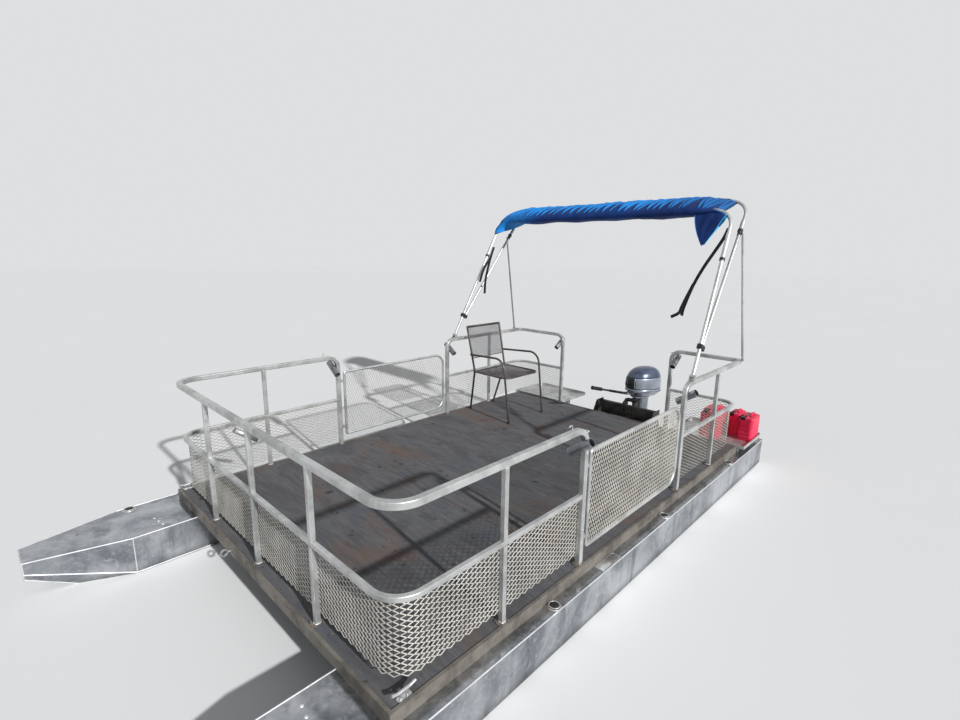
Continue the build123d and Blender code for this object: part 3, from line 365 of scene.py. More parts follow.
def satin(name, light, dark, dust, low, high, metallic=0.0, coat=0.0, grain=240, depth=0.0004):
    """Painted or moulded surface with soft variation, dust and a fine grain."""
    paint = Paint(name, {"Metallic": metallic, "Coat Weight": coat, "Coat Roughness": 0.12})
    cloud = paint.noise(9, 4, 0.6)
    paint.tones(cloud, 0.32, 0.7, light, dark)
    paint.over(paint.noise(28, 6, 0.72), 0.55, 0.8, 0.4, dust)
    paint.rough(paint.band(cloud, 0.3, 0.7, low, high))
    paint.bump(paint.noise(grain, 3, 0.6), 0.3, depth)
    return paint.done()


def red_plastic():
    """Moulded red plastic of the fuel tanks: sun-faded and scuffed."""
    paint = Paint("red_plastic", {"Specular IOR Level": 0.45})
    fade = paint.noise(11, 5, 0.62)
    scuff = paint.noise(46, 6, 0.74)
    paint.tones(fade, 0.34, 0.68, (206, 16, 62), (226, 36, 84))
    paint.over(scuff, 0.6, 0.8, 0.35, (238, 112, 142))
    paint.rough(paint.band(fade, 0.3, 0.7, 0.3, 0.5))
    paint.bump(scuff, 0.2, 0.0008)
    return paint.done()


def pale_floor():
    """Matt pale floor, the same all over apart from a faint grain."""
    paint = Paint("pale_floor", {"Roughness": 0.95, "Specular IOR Level": 0.1})
    paint.tones(paint.noise(0.7, 3), 0.3, 0.7, (237, 238, 238), (239, 239, 239))
    return paint.done()


# Light and dark tone, metallic, roughness from and to, share of stain
METAL = aluminium("rail_metal", (206, 207, 206), (168, 169, 168), 0.7, 0.3, 0.52, 0.35)
TRIM = aluminium("trim_metal", (136, 131, 123), (92, 86, 80), 0.45, 0.5, 0.75, 0.6)
SCREEN = aluminium("screen_metal", (198, 195, 187), (172, 169, 160), 0.35, 0.42, 0.62, 0.25)
FOOT = aluminium("foot_metal", (150, 138, 122), (110, 96, 82), 0.4, 0.45, 0.7, 0.7)
HOLDER = aluminium("holder_metal", (158, 160, 163), (106, 109, 114), 0.8, 0.28, 0.5, 0.3)
FRAME = aluminium("bracket_metal", (74, 72, 68), (44, 42, 40), 0.4, 0.5, 0.75, 0.6)
BRIGHT = aluminium("bright_metal", (218, 219, 220), (186, 188, 190), 0.9, 0.24, 0.42, 0.15)
BEAD = aluminium("weld_metal", (234, 235, 236), (206, 208, 210), 0.6, 0.3, 0.5, 0.1)
HULL = hull_metal()
WOOD = deck_wood()
CANVAS = canvas_cloth()
# The canvas in painted sunlight, for the flap and its hem
SUNLIT_CLOTH = painted_sunlit_cloth()
# Light and dark tone, dust, roughness from and to, metallic, coat, scale and depth of grain
# The dome's blue-grey is the cowl's paint, made darker and bluer as a painted reflection of the sky
blue = (74, 88, 112), (52, 64, 86), (120, 128, 138)
silver = (150, 158, 170), (128, 136, 150), (170, 172, 174)
COWL_BLUE_AND_SKY = satin("cowl_paint", *blue, 0.2, 0.32, 0.3, 0.6, 300, 0.0002)
PANEL = satin("panel_paint", *silver, 0.26, 0.4, 0.45, 0.3, 260, 0.0002)
PAN = satin("pan_paint", (176, 180, 188), (146, 150, 160), (120, 120, 118), 0.24, 0.42, 0.6, 0.2)
LEG = satin("leg_paint", (146, 152, 160), (112, 118, 127), (96, 94, 88), 0.28, 0.42, 0.45, 0.2)
DARK = satin("dark_metal", (40, 42, 45), (24, 25, 27), (92, 88, 80), 0.38, 0.6, 0.35, grain=200)
BLACK = satin("black_plastic", (34, 34, 36), (20, 20, 22), (90, 88, 82), 0.42, 0.62, grain=260)
RUBBER = satin("soft_rubber", (30, 30, 31), (20, 20, 20), (70, 68, 64),
               0.7, 0.88, grain=320, depth=0.0006)
WEBBING = satin("black_webbing", (30, 31, 34), (18, 19, 22), (72, 74, 78),
                0.75, 0.9, grain=900, depth=0.0006)
CHAIR = satin("chair_steel", (100, 95, 90), (62, 59, 57), (84, 68, 58), 0.34, 0.5, 0.65, grain=220)
NET = satin("chair_net", (104, 100, 102), (72, 70, 74), (130, 126, 120), 0.5, 0.7, 0.3, grain=300)
RED = red_plastic()

# Nodes that aren't rail metal
NODE_PAINT = {
    HULL: ("pontoon_port", "pontoon_starboard"),
    TRIM: ("inspection_ports", "deck_beams", "deck_trim"),
    WOOD: ("deck_panels",),
    BRIGHT: ("bow_cleats", "bow_eye_bolt"),
    CHAIR: ("chair_frame",),
    NET: ("chair_mesh",),
    RED: ("fuel_tank_outer", "fuel_tank_middle", "fuel_tank_inner"),
    BLACK: ("fuel_caps", "top_hoop_clamps", "top_strut_studs", "top_sleeve_collars"),
    FRAME: ("motor_bracket",),
    FOOT: ("post_feet",),
    DARK: ("motor_clamp", "motor_swivel", "motor_tiller", "propeller"),
    LEG: ("motor_leg", "motor_gearcase"),
    PAN: ("motor_pan",),
    COWL_BLUE_AND_SKY: ("motor_cowl",),
    CANVAS: ("top_canvas_boot",),
    HOLDER: ("rod_holders",),
}
paint_of = {name: paint for paint, names in NODE_PAINT.items() for name in names}
for name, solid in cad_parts.items():
    solid.data.materials.clear()
    solid.data.materials.append(paint_of.get(name, METAL))


# Mesh helpers
def placed(name, data):
    """A new object of some data in the scene."""
    made = bpy.data.objects.new(name, data)
    bpy.context.scene.collection.objects.link(made)
    return made


def piece_from(name, points, faces, paint, body, slot, smooth=True):
    """A mesh piece of one paint or several, on a body; the slot argument is not used."""
    mesh = bpy.data.meshes.new(name)
    mesh.from_pydata([tuple(map(float, p)) for p in points], [], faces)
    for material in paint if isinstance(paint, tuple) else (paint,):
        mesh.materials.append(material)
    mesh.polygons.foreach_set("use_smooth", [smooth] * len(mesh.polygons))
    mesh.update()
    made = placed(name, mesh)
    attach(made, body)
    return made


def joined_piece(name, shapes, paint, body, slot, smooth=True):
    """One piece of several shapes, each a list of points and a list of faces."""
    points, faces = [], []
    for shape_points, shape_faces in shapes:
        start = len(points)
        points += list(shape_points)
        faces += [tuple(start + i for i in face) for face in shape_faces]
    return piece_from(name, points, faces, paint, body, slot, smooth)


def grid_faces(rows, columns, wrap=True):
    """Quads of a grid of points, closed round its columns if wrap is set."""
    faces = []
    for low in range(0, (rows - 1) * columns, columns):
        high = low + columns
        for c in range(columns if wrap else columns - 1):
            after = (c + 1) % columns
            faces.append((low + c, low + after, high + after, high + c))
    return faces


def capped_faces(rows, columns):
    """Quads of a tube of rings, and a face over each of its ends."""
    first = tuple(range(columns))[::-1]
    last = tuple((rows - 1) * columns + k for k in range(columns))
    return [*grid_faces(rows, columns), first, last]


def turns(count):
    """Cosine and sine of evenly spread angles of a full turn."""
    return [(cos(2 * pi * k / count), sin(2 * pi * k / count)) for k in range(count)]


def ways(path):
    """Direction of a line at each of its points."""
    last = len(path) - 1
    return [(path[min(i + 1, last)] - path[max(i - 1, 0)]).normalized() for i in range(last + 1)]


def tube_shape(path, radius, sides=10):
    """Closed tube round a line of points; radius is one number or one for each point."""
    path = [Vector(p) for p in path]
    radii = radius if hasattr(radius, "__len__") else [radius] * len(path)
    ahead_at = ways(path)
    points, side = [], ahead_at[0].orthogonal().normalized()
    for spot, size, ahead in zip(path, radii, ahead_at):
        side = (side - ahead * side.dot(ahead)).normalized()
        other = ahead.cross(side)
        points += [spot + side * (a * size) + other * (b * size) for a, b in turns(sides)]
    return points, capped_faces(len(path), sides)


def lathe_shape(profile, place, axis=(0, 0, 1), sides=20):
    """Turned shape: (radius, distance along the axis) pairs from a place."""
    axis = Vector(axis).normalized()
    side = axis.orthogonal().normalized()
    other = axis.cross(side)
    points = [
        Vector(place) + axis * reach + side * (radius * a) + other * (radius * b)
        for radius, reach in profile
        for a, b in turns(sides)
    ]
    return points, capped_faces(len(profile), sides)


def slab_shape(corners, thickness):
    """Closed plate: a ring of corners and the same ring moved by a vector."""
    count = len(corners)
    points = [Vector(p) for p in corners] + [Vector(p) + Vector(thickness) for p in corners]
    faces = [tuple(range(count))[::-1], tuple(range(count, 2 * count))]
    faces += [(k, (k + 1) % count, count + (k + 1) % count, count + k) for k in range(count)]
    return points, faces


def belt_shape(loop, out, tall, sides=6):
    """Closed bead round a level loop of (place, outward direction) pairs."""
    points, faces = [], []
    for spot, away in loop:
        points += [spot + away * (out * a) + Vector((0, 0, tall * b)) for a, b in turns(sides)]
    for r in range(len(loop)):
        low, high = r * sides, (r + 1) % len(loop) * sides
        for c in range(sides):
            after = (c + 1) % sides
            faces.append((low + c, high + c, high + after, low + after))
    return points, faces


def rounded_loop(middle, length, width, corner, bits=7):
    """Level rounded rectangle as (place, outward direction) pairs."""
    loop = []
    for quarter, (sx, sy) in enumerate(((1, 1), (-1, 1), (-1, -1), (1, -1))):
        centre = Vector(middle) + Vector((sx * (length / 2 - corner), sy * (width / 2 - corner), 0))
        for k in range(bits + 1):
            angle = (quarter + k / bits) * pi / 2
            away = Vector((cos(angle), sin(angle), 0))
            loop.append((centre + away * corner, away))
    return loop


def ribbon_shape(path, width, thick, facing):
    """Flat webbing along a line, its broad side turned to a direction."""
    facing = Vector(facing).normalized()
    edges = [(-0.5, -0.3), (-0.44, -0.5), (0.44, -0.5), (0.5, -0.3)]
    outline = edges + [(-a, -b) for a, b in edges]
    points = []
    for spot, ahead in zip(path, ways(path)):
        side = ahead.cross(facing).normalized()
        out = side.cross(ahead)
        points += [spot + side * (width * a) + out * (thick * b) for a, b in outline]
    return points, capped_faces(len(path), len(outline))


def smooth_line(corners, bits=16):
    """Evenly read points of a smooth line through the given ones."""
    spots = [Vector(p) for p in corners]
    spots = [2 * spots[0] - spots[1], *spots, 2 * spots[-1] - spots[-2]]
    line = []
    for a, b, c, d in zip(spots, spots[1:], spots[2:], spots[3:]):
        for k in range(bits):
            t = k / bits
            square, cube = 2 * a - 5 * b + 4 * c - d, 3 * b - a - 3 * c + d
            line.append(0.5 * (2 * b + (c - a) * t + square * t * t + cube * t ** 3))
    return [*line, spots[-2]]


def run_lengths(path):
    """Distance along a line at each of its points."""
    return np.concatenate([[0], np.cumsum([(q - p).length for p, q in zip(path, path[1:])])])


def rounded_line(corners, radii):
    """Level line with round bends at its corners, and the distance along it at each point."""
    spots = [Vector((*corners[0], 0))]
    for before, corner, after, radius in zip(corners, corners[1:], corners[2:], radii):
        a, b, c = (Vector((*p, 0)) for p in (before, corner, after))
        into, out = (b - a).normalized(), (c - b).normalized()
        turn = into.angle(out)
        centre = b + (out - into).normalized() * (radius / cos(turn / 2))
        first = b - into * (radius * tan(turn / 2)) - centre
        hand = 1 if into.cross(out).z > 0 else -1
        bits = max(6, int(turn * radius / 0.006))
        for k in range(bits + 1):
            spots.append(centre + Matrix.Rotation(hand * turn * k / bits, 3, "Z") @ first)
    spots.append(Vector((*corners[-1], 0)))
    return np.array([p.xy for p in spots]), run_lengths(spots)


def corner_cut(edge, corner):
    """How far a round corner cuts into a side, at a distance from the other side."""
    return 0 if edge >= corner else corner - sqrt(max(0, corner ** 2 - (corner - max(edge, 0)) ** 2))


# Expanded metal
def strand_mesh(length, low, high, cell, cell_rise, place, size, reach=None):
    """Diamond lattice: zigzag strands that meet their neighbours at each bond.

    place(s, z, out) gives the point of the sheet, and reach(z) the ends of the strands there."""
    rows = int(round((high - low) / (cell_rise / 2)))
    rise = (high - low) / rows
    columns = int(length / (cell / 2))
    run = length / columns
    width, thick = size
    section = ((-0.5, -0.9), (-0.5, 0.1), (0.5, 0.9), (0.5, -0.1))
    points, faces = [], []
    for row in range(rows):
        line = []
        for k in range(columns + 1):
            z = low + (row + (k + row) % 2) * rise
            bond = [k - bond_share, k + bond_share]
            line += [(at * run, z) for at in bond if 0 <= at <= columns]
        if reach:
            line = clipped(line, reach)
        if len(line) < 2:
            continue
        start = len(points)
        for s, z in line:
            points += [place(s, z + width * a, thick * b) for a, b in section]
        for k in range(len(line) - 1):
            a = start + 4 * k
            faces += [(a + i, a + (i + 1) % 4, a + 4 + (i + 1) % 4, a + 4 + i) for i in range(4)]
        faces.append((start + 3, start + 2, start + 1, start))
        end = start + 4 * (len(line) - 1)
        faces.append((end, end + 1, end + 2, end + 3))
    return points, faces


def clipped(line, reach):
    """The part of a strand that lies between the ends that reach(z) gives."""
    kept = []
    for (s0, z0), (s1, z1) in zip(line, line[1:]):
        low, high = reach((z0 + z1) / 2)
        a, b = max(s0, low), min(s1, high)
        if b - a < 1e-4:
            continue
        ends = [(s, z0 + (z1 - z0) * (s - s0) / (s1 - s0)) for s in (a, b)]
        kept += ends[1:] if kept else ends
    return kept


def fence_screen(name, corners, radii, node):
    """Expanded metal along the fence, from the middle rail down to its raw lower edge."""
    spots, lengths = rounded_line(corners, radii)
    ahead = np.gradient(spots, lengths, axis=0)
    ahead /= np.linalg.norm(ahead, axis=1)[:, None]
    columns = (spots[:, 0], spots[:, 1], ahead[:, 0], ahead[:, 1])

    def place(s, z, out):
        x, y, dx, dy = (np.interp(s, lengths, column) for column in columns)
        return (x + dy * out, y - dx * out, z)

    shape = strand_mesh(lengths[-1], mesh_low, mid_rail_z, cell_length, cell_height, place, strand)
    made = piece_from(name, *shape, SCREEN, "hull", "mesh", smooth=False)
    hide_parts(node)


def fence_screens():
    bow = [(mid_rail_front, mesh_y), (mesh_bow, mesh_y),
           (mesh_bow, -mesh_y), (mid_rail_front, -mesh_y)]
    fence_screen("screen_bow", bow, [mesh_bend, mesh_bend], "bow_mesh")
    for side, sign in sides:
        corners = [
            (aft_post_x - rail_size / 2, sign * mesh_y),
            (mesh_stern, sign * mesh_y),
            (mesh_stern, sign * (inner_post_y + rail_size / 2)),
        ]
        fence_screen(f"screen_stern_{side}", corners, [mesh_bend], f"stern_mesh_{side}")


def gate_screens():
    """Expanded metal of the gates, its long way upright, cut to the bent aft corners."""
    for side, sign in sides:
        low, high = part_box(f"gate_frame_{side}")
        front = gate_post_x - rail_size / 2 - gate_gap - gate_tube / 2
        length, rise = front - low.x - gate_tube / 2, high.z - low.z - gate_tube

        def reach(run):
            cut = corner_cut(length - run, gate_corner)
            return cut, rise - cut

        def place(up, run, out):
            return (front - run, sign * (fence_y + out), low.z + gate_tube / 2 + up)

        shape = strand_mesh(rise, 0, length, cell_length, cell_height, place, strand, reach)
        made = piece_from(f"screen_gate_{side}", *shape, SCREEN, f"gate_{side}", "mesh", smooth=False)
        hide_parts(f"gate_mesh_{side}")


# Folding top
def leg_half(along):
    """Half width of the main hoop at a distance up its legs."""
    return fence_y - hoop_top_inset * along / hoop_height


def main_point(y, up):
    """Point in the plane of the main hoop."""
    lean = radians(hoop_lean)
    return Vector((pivot_x - sin(lean) * up, y, pivot_z + cos(lean) * up))


def second_point(y, up):
    """Point in the plane of the second hoop."""
    lean, other = radians(hoop_lean), radians(second_lean)
    base = Vector((pivot_x, 0, pivot_z)) + Vector((-sin(lean), 0, cos(lean))) * second_joint
    base += Vector((-cos(lean), 0, -sin(lean))) * second_gap
    return base + Vector((-sin(other) * up, y, cos(other) * up))


def bend_stations(turn, hand):
    """Points of both hoops round a bend, and its turn in radians; hand 1 is the port bend."""
    second_half = leg_half(second_joint) - second_top_inset
    y = leg_half(hoop_height) - hoop_bend + hoop_bend * sin(turn)
    second_y = second_half - second_bend + second_bend * sin(turn)
    main = main_point(hand * y, hoop_height - hoop_bend * (1 - cos(turn)))
    second = second_point(hand * second_y, second_height - second_bend * (1 - cos(turn)))
    return main, second, -hand * turn


def boot_stations():
    """Points of both hoops and the turn there, from the boot's port mouth to its other end."""
    end = leg_half(hoop_height) - hoop_bend
    stations = [bend_stations(t, 1) for t in np.linspace(radians(boot_turn), 0, 30)[:-1]]
    for y in np.linspace(end, -end, 820):
        stations.append((main_point(y, hoop_height), second_point(y, second_height), 0.0))
    return stations + [bend_stations(t, -1) for t in np.linspace(0, radians(boot_end_turn), 100)[1:]]


def ripple(seed):
    """Smooth cloth unevenness, about -1 to 1, from a few fixed waves."""
    random = np.random.RandomState(seed)
    waves = [(random.uniform(4, 30), random.uniform(-3, 3), random.uniform(0, 6.3)) for _ in range(7)]
    return lambda u, v: sum(sin(u * a + v * b + c) for a, b, c in waves) / 7 ** 0.75


def soft_step(value, low, high):
    share = min(1.0, max(0.0, (value - low) / (high - low)))
    return share * share * (3 - 2 * share)


def gathered_pleats(length):
    """Pleats of the boot: place, strength, slant, width and spread of each."""
    random = np.random.RandomState(4)
    ranges = ((0.5, 1.2), (-0.5, 0.9), (0.0055, 0.0085), (0.006, 0.022))
    pleats, spot = [], 0.05
    while spot < length:
        pleats.append((spot, *(random.uniform(*limits) for limits in ranges)))
        spot += pleat_spacing * random.uniform(0.5, 1.4)
    return pleats


def pleat_fold(near, s, v):
    """Height of the V-shaped pleats at a distance along the boot and an angle round it."""
    down = soft_step(v, 1.2, 2.75)
    fold = 0.0
    for place, strength, slant, width, spread in near:
        for hand in (-1, 1):
            away = s - place - slant * 0.03 * (v - 1.6) - hand * spread * (1 - down)
            wide = width * (1.2 - 0.5 * down) * (0.8 if away < 0 else 1.4)
            if abs(away) < 3 * wide:
                fold += strength * np.exp(-((away / wide) ** 2))
    return min(fold, 1.3)


def boot_points(stations, travel):
    """Rings of the boot: an oval round both hoops, with pleats and a slack underside."""
    pleats, broad, close = gathered_pleats(travel[-1]), ripple(3), ripple(8)
    points = []
    for (low, high, turn), s in zip(stations, travel):
        across = (high - low).normalized()
        run = Vector((0, -cos(turn), -sin(turn) * 0.8)).normalized()
        run = (run - across * run.dot(across)).normalized()
        up = across.cross(run)
        if up.z < 0 and turn < 1:
            up = -up
        centre = (low + high) / 2
        half, thick = (high - low).length / 2 + boot_cover, boot_thickness / 2
        mouth = soft_step(s, -0.05, 0.30)
        ends = min(mouth, (travel[-1] - s) / 0.05 + 0.55)
        near = [p for p in pleats if abs(p[0] - s) < 0.12]
        for k in range(boot_around):
            v = 2 * pi * k / boot_around
            front = soft_step(v, 0.55, 1.1) * (1 - soft_step(v, 2.0, 2.75))
            swell = broad(s * 0.6, v) * 0.004 + close(s * 2.4, 2 * v) * 0.0016
            sag = 0.008 * max(0.0, -sin(v)) * (1 + 0.6 * sin(s * 2 * pi / 0.42))
            bag = 0.016 * max(0.0, -sin(v - 0.9)) ** 2
            grow = (pleat_fold(near, s, v) - 0.4) * pleat_height * front + swell + sag + bag
            grow *= min(1, mouth + 0.3)
            push = Vector((cos(v) / half, sin(v) / thick)).normalized() * grow
            x = half * cos(v) * (0.94 + 0.06 * ends) + push.x
            z = thick * sin(v) * ends + push.y
            points.append(centre + across * x + up * z)
    return points


def canvas_boot():
    """Rolled canvas in its boot: a gathered roll round both hoops, its mouths turned in."""
    stations = boot_stations()
    mids = [(a + b) / 2 for a, b, _ in stations]
    points = boot_points(stations, run_lengths(mids))
    rows, around = len(stations), boot_around
    faces = grid_faces(rows, around)
    for ring, other in ((0, 1), (rows - 1, -1)):
        rim = points[ring * around : (ring + 1) * around]
        centre = sum(rim, Vector()) / around
        inward = (mids[ring + other] - mids[ring]).normalized()
        last = [ring * around + k for k in range(around)]
        for scale, depth in ((0.93, 0.006), (0.8, 0.016), (0.5, 0.024)):
            new = [len(points) + k for k in range(around)]
            points += [centre + (p - centre) * scale + inward * depth for p in rim]
            for k in range(around):
                after = (k + 1) % around
                faces.append((last[k], last[after], new[after], new[k])[::-other])
            last = new
        faces.append(tuple(last)[::-other])
    made = piece_from("canvas_boot", points, faces, CANVAS, "top", "canvas")
    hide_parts("top_canvas_boot")
    canvas_binding(points, rows)


def canvas_binding(points, rows):
    """Black tape sewn round both mouths of the boot."""
    shapes = []
    for ring, step in ((0, 1), (rows - 1, -1)):
        loops = []
        for back, out in ((0, 0.0), (0, 0.0018), (2, 0.0024), (4, 0.0018), (4, -0.001)):
            row = (ring + step * back) * boot_around
            loop = points[row : row + boot_around]
            centre = sum(loop, Vector()) / boot_around
            loops += [p + (p - centre).normalized() * out for p in loop]
        shapes.append((loops, [face[::step] for face in grid_faces(5, boot_around)]))
    joined_piece("canvas_binding", shapes, WEBBING, "top", "canvas")


def canvas_flap():
    """Loose pouch that hangs from the main hoop at the port end, folded from one sheet."""
    rows, columns = 30, 25
    ys = (0.858, 0.930, 0.987, 1.045, 1.098)
    ups = (hoop_height, hoop_height, hoop_height, 1.284, 1.250)
    points = []
    for layer in (1, -1):
        for down in np.linspace(0, 1, rows):
            for side in np.linspace(0, 1, columns):
                y, up = (np.interp(side * 4, range(5), edge) * (1 - down) for edge in (ys, ups))
                y += (flap_tip[0] + 0.022 * side) * down - 0.020 * sin(pi * down) * (1 - side)
                up += (flap_tip[1] + 0.012 * side) * down
                belly = 0.030 * sin(pi * min(1, down * 1.5 + 0.06)) * (0.25 + 0.75 * side)
                depth = (0.014 + belly * (1 - down)) * (1 - 0.93 * down)
                wrinkle = 0.0035 * sin(side * 15 + down * 6) * (1 - down) * min(1, down * 5)
                points.append(main_point(y, up) + Vector((layer * depth + wrinkle, 0, 0)))
    count = rows * columns
    sheet = grid_faces(rows, columns, wrap=False)
    faces = [f[::-1] for f in sheet] + [tuple(count + i for i in f) for f in sheet]
    fold = [r * columns for r in range(rows)]
    faces += [(a, b, count + b, count + a) for a, b in zip(fold, fold[1:])]
    # The second paint, on the other face of the sheet, is the canvas in painted sunlight
    made = piece_from("canvas_flap", points, faces, (CANVAS, SUNLIT_CLOTH), "top", "canvas")
    solid = made.modifiers.new("thickness", "SOLIDIFY")
    solid.thickness = 0.0012
    solid.material_offset = 1
    rims = [points[layer + columns - 1 : layer + count : columns] for layer in (0, count)]
    # The hem is in the same painted sunlit blue
    joined_piece("canvas_hem", [tube_shape(rim, 0.0022, 6) for rim in rims], SUNLIT_CLOTH, "top", "canvas")


# Name, way that the broad side faces, and the points that the strap passes
hanging_straps = (
    ("strap_port", (1, 0, 0),
     (-1.452, 1.128, 2.360), (-1.470, 1.085, 2.272), (-1.492, 0.965, 2.078),
     (-1.500, 0.893, 1.930), (-1.500, 0.838, 1.760), (-1.500, 0.826, 1.690)),
    ("strap_port_tail", (1, 0.2, 0.1),
     (-1.486, 0.902, 1.945), (-1.484, 0.862, 1.850), (-1.486, 0.826, 1.760),
     (-1.490, 0.806, 1.712), (-1.494, 0.742, 1.672)),
    ("strap_starboard_long", (1, 0.3, 0),
     (-1.372, -1.118, 2.225), (-1.318, -1.112, 2.130), (-1.215, -1.110, 2.000),
     (-1.160, -1.108, 1.880)),
    ("strap_starboard_short", (1, 0.3, 0),
     (-1.340, -1.114, 2.165), (-1.290, -1.106, 2.060), (-1.240, -1.104, 1.900),
     (-1.226, -1.102, 1.760)),
)


def straps():
    """Webbing straps that hang free: one at port with its doubled tail, two at starboard."""
    for name, facing, *spots in hanging_straps:
        path = smooth_line(spots)
        shape = ribbon_shape(path, strap_width, strap_thickness, facing)
        made = piece_from(name, *shape, WEBBING, "top", "canvas")
        length = run_lengths(path)[-1]
        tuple(path[0])


# Chair
def seat_net():
    """Sagging net of the seat."""
    half, depth = seat_half - net_inset, seat_depth - 3 * net_inset

    def reach(t):
        cut = corner_cut(min(t, depth - t), seat_corner)
        return cut, 2 * half - cut

    def place(s, t, out):
        a, b = (s - half) / half, (t - depth / 2) / (depth / 2)
        sag = seat_sag * (1 - a * a) * (1 - b * b)
        y = chair_y + 2 * net_inset + t
        return (chair_x - half + s, y, deck_top + seat_height - sag + out)

    return strand_mesh(2 * half, 0, depth, net_cell, net_cell / 2, place, net_strand, reach)


def back_net():
    """Bowed net of the back and the rods at its lower and upper edge."""
    rise = back_height - back_low - 0.010
    slope = back_lean / (back_height - seat_height)

    def place(s, t, out):
        share = t / rise
        a = (s - back_half) / back_half
        bow = back_bow * (1 - a * a) * (0.3 + 0.7 * share)
        y = chair_y - slope * (back_low - seat_height + t) - bow + out
        return (chair_x + a * (back_half - 0.012 * (1 - share)), y, deck_top + back_low + t)

    net = strand_mesh(2 * back_half, 0, rise, net_cell, net_cell / 2, place, net_strand)
    edges = [[place(back_half * k / 8, t, 0) for k in range(17)] for t in (0, rise)]
    return [net, *(tube_shape(edge, net_rod, 8) for edge in edges)]


def chair_screens():
    shapes = [seat_net(), *back_net()]
    made = joined_piece("chair_screen", shapes, NET, "hull", "chair", smooth=False)
    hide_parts("chair_mesh")


# Weld beads, screws and bolts
def bead_line(start, end, rippled=True):
    """Weld bead along a straight edge, rippled like stacked coins."""
    start, end = Vector(start), Vector(end)
    step = bead_pitch / 2 if rippled else 0.05
    count = max(3, int((end - start).length / step))
    path = [start.lerp(end, k / count) for k in range(count + 1)]
    radii = [bead_radius * (0.82 + 0.3 * (k % 2)) for k in range(count + 1)]
    return tube_shape(path, radii if rippled else bead_radius * 0.9, 6)


# Distance from the tip, then half width and height of the top edge, knuckle and bottom edge
hull_sections = (
    (0.000, 0.0977, 0.500, 0.0932, 0.430, 0.0599, 0.385),
    (0.480, 0.2220, 0.500, 0.2187, 0.277, 0.0999, 0.120),
    (0.900, 0.2220, 0.500, 0.2187, 0.277, 0.1154, 0.000),
)


def hull_edge(sign, from_tip, corner, hand):
    """Point on an edge of a pontoon: corner 0 is its top edge, 1 its knuckle, 2 its bottom."""
    places, *columns = zip(*hull_sections)
    half, z = (np.interp(from_tip, places, columns[2 * corner + k]) for k in (0, 1))
    return pontoon_tip - from_tip, sign * pontoon_y + hand * half, z


def hull_beads():
    """Beads where the pontoons' plates are welded: long edges, blunt tips and noses."""
    close_end = 1.7  # further aft the beads are smooth
    runs = [0, pontoon_shoulder, pontoon_knee, close_end, pontoon_length]
    for side, sign in sides:
        shapes = []
        for hand in (1, -1):
            for corner in (0, 1, 2):
                for a, b in zip(runs, runs[1:]):
                    if corner == 0 or a < pontoon_knee:
                        ends = [hull_edge(sign, at, corner, hand) for at in (a, b)]
                        shapes.append(bead_line(*ends, a < close_end))
            for at in (0, pontoon_shoulder, pontoon_length):
                top, knuckle, low = (hull_edge(sign, at, corner, hand) for corner in (0, 1, 2))
                shapes += [bead_line(top, knuckle), bead_line(knuckle, low)]
        for at in (0, pontoon_length):
            for corner in (0, 2):
                ends = [hull_edge(sign, at, corner, hand) for hand in (1, -1)]
                shapes.append(bead_line(*ends))
        joined_piece(f"hull_beads_{side}", shapes, BEAD, "hull", "hull")


def places_of(name, reach=0.09):
    """Level middles of the parts of a node that lie further apart than a reach."""
    groups = []
    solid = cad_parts[name]
    for vertex in solid.data.vertices:
        spot = solid.matrix_world @ vertex.co
        near = [group for group in groups if (group[0] - spot).length < reach]
        if near:
            near[0].append(spot)
        else:
            groups.append([spot])
    spans = [[[p[k] for p in group] for k in (0, 1)] for group in groups]
    return [tuple((min(span) + max(span)) / 2 for span in pair) for pair in spans]


def port_details():
    """Weld ring and dark plug of each inspection port, and tack welds on the noses."""
    rings, plugs = [], []
    for x, y in places_of("inspection_ports"):
        for rise, radius, out, tall in ((0.001, 0.032, 0.004, 0.003), (0.008, 0.027, 0.0022, 0.0018)):
            loop = rounded_loop((x, y, pontoon_top + rise), 2 * radius, 2 * radius, radius, 9)
            rings.append(belt_shape(loop, out, tall))
        plug = [(0.021, 0.006), (0.021, 0.0105), (0.018, 0.012), (0.008, 0.0115)]
        plugs.append(lathe_shape(plug, (x, y, pontoon_top), sides=24))
    tack = [(0.009, -0.001), (0.008, 0.002), (0.004, 0.0035)]
    for sign in (1, -1):
        for k in range(3):
            place = (1.86 - 0.010 * k, sign * (pontoon_y - 0.05 - 0.055 * k), pontoon_top)
            rings.append(lathe_shape(tack, place, sides=12))
    joined_piece("port_rings", rings, BEAD, "hull", "hull")
    joined_piece("port_plugs", plugs, BLACK, "hull", "black_plastic")


def post_fixings():
    """Bolts of the foot plates, and weld beads at both ends of each post."""
    washer = [(0.0065, 0), (0.0065, 0.001)]
    head = [(bolt_radius, 0.001), (bolt_radius, 0.0042), (bolt_radius * 0.85, 0.005)]
    bolts, beads = [], []
    for x, y in places_of("post_feet"):
        for sx in (1, -1):
            for sy in (1, -1):
                place = (x + sx * bolt_spacing / 2, y + sy * bolt_spacing / 2, foot_top)
                bolts += [lathe_shape(washer, place, sides=12), lathe_shape(head, place, sides=6)]
        for z in (foot_top + 0.0015, rail_z - rail_size / 2 - 0.001):
            loop = rounded_loop((x, y, z), post_size, post_size, 0.005, 4)
            beads.append(belt_shape(loop, 0.003, 0.0025))
    joined_piece("foot_bolts", bolts, TRIM, "hull", "fittings", smooth=False)
    joined_piece("post_beads", beads, BEAD, "hull", "rail")


def deck_screws():
    """Screw heads of the deck, in a row over each beam."""
    outline = ((1, -0.0006), (1, 0.0004), (0.8, 0.0011), (0.3, 0.0013))
    head = [(screw_radius * share, rise) for share, rise in outline]
    screws = []
    for x in beam_places:
        for k in range(screws_across):
            y = -screw_row_half + 2 * screw_row_half * k / (screws_across - 1)
            screws.append(lathe_shape(head, (x + 0.004 * sin(5 * k), y, deck_top), sides=10))
    joined_piece("deck_screws", screws, TRIM, "hull", "fittings")


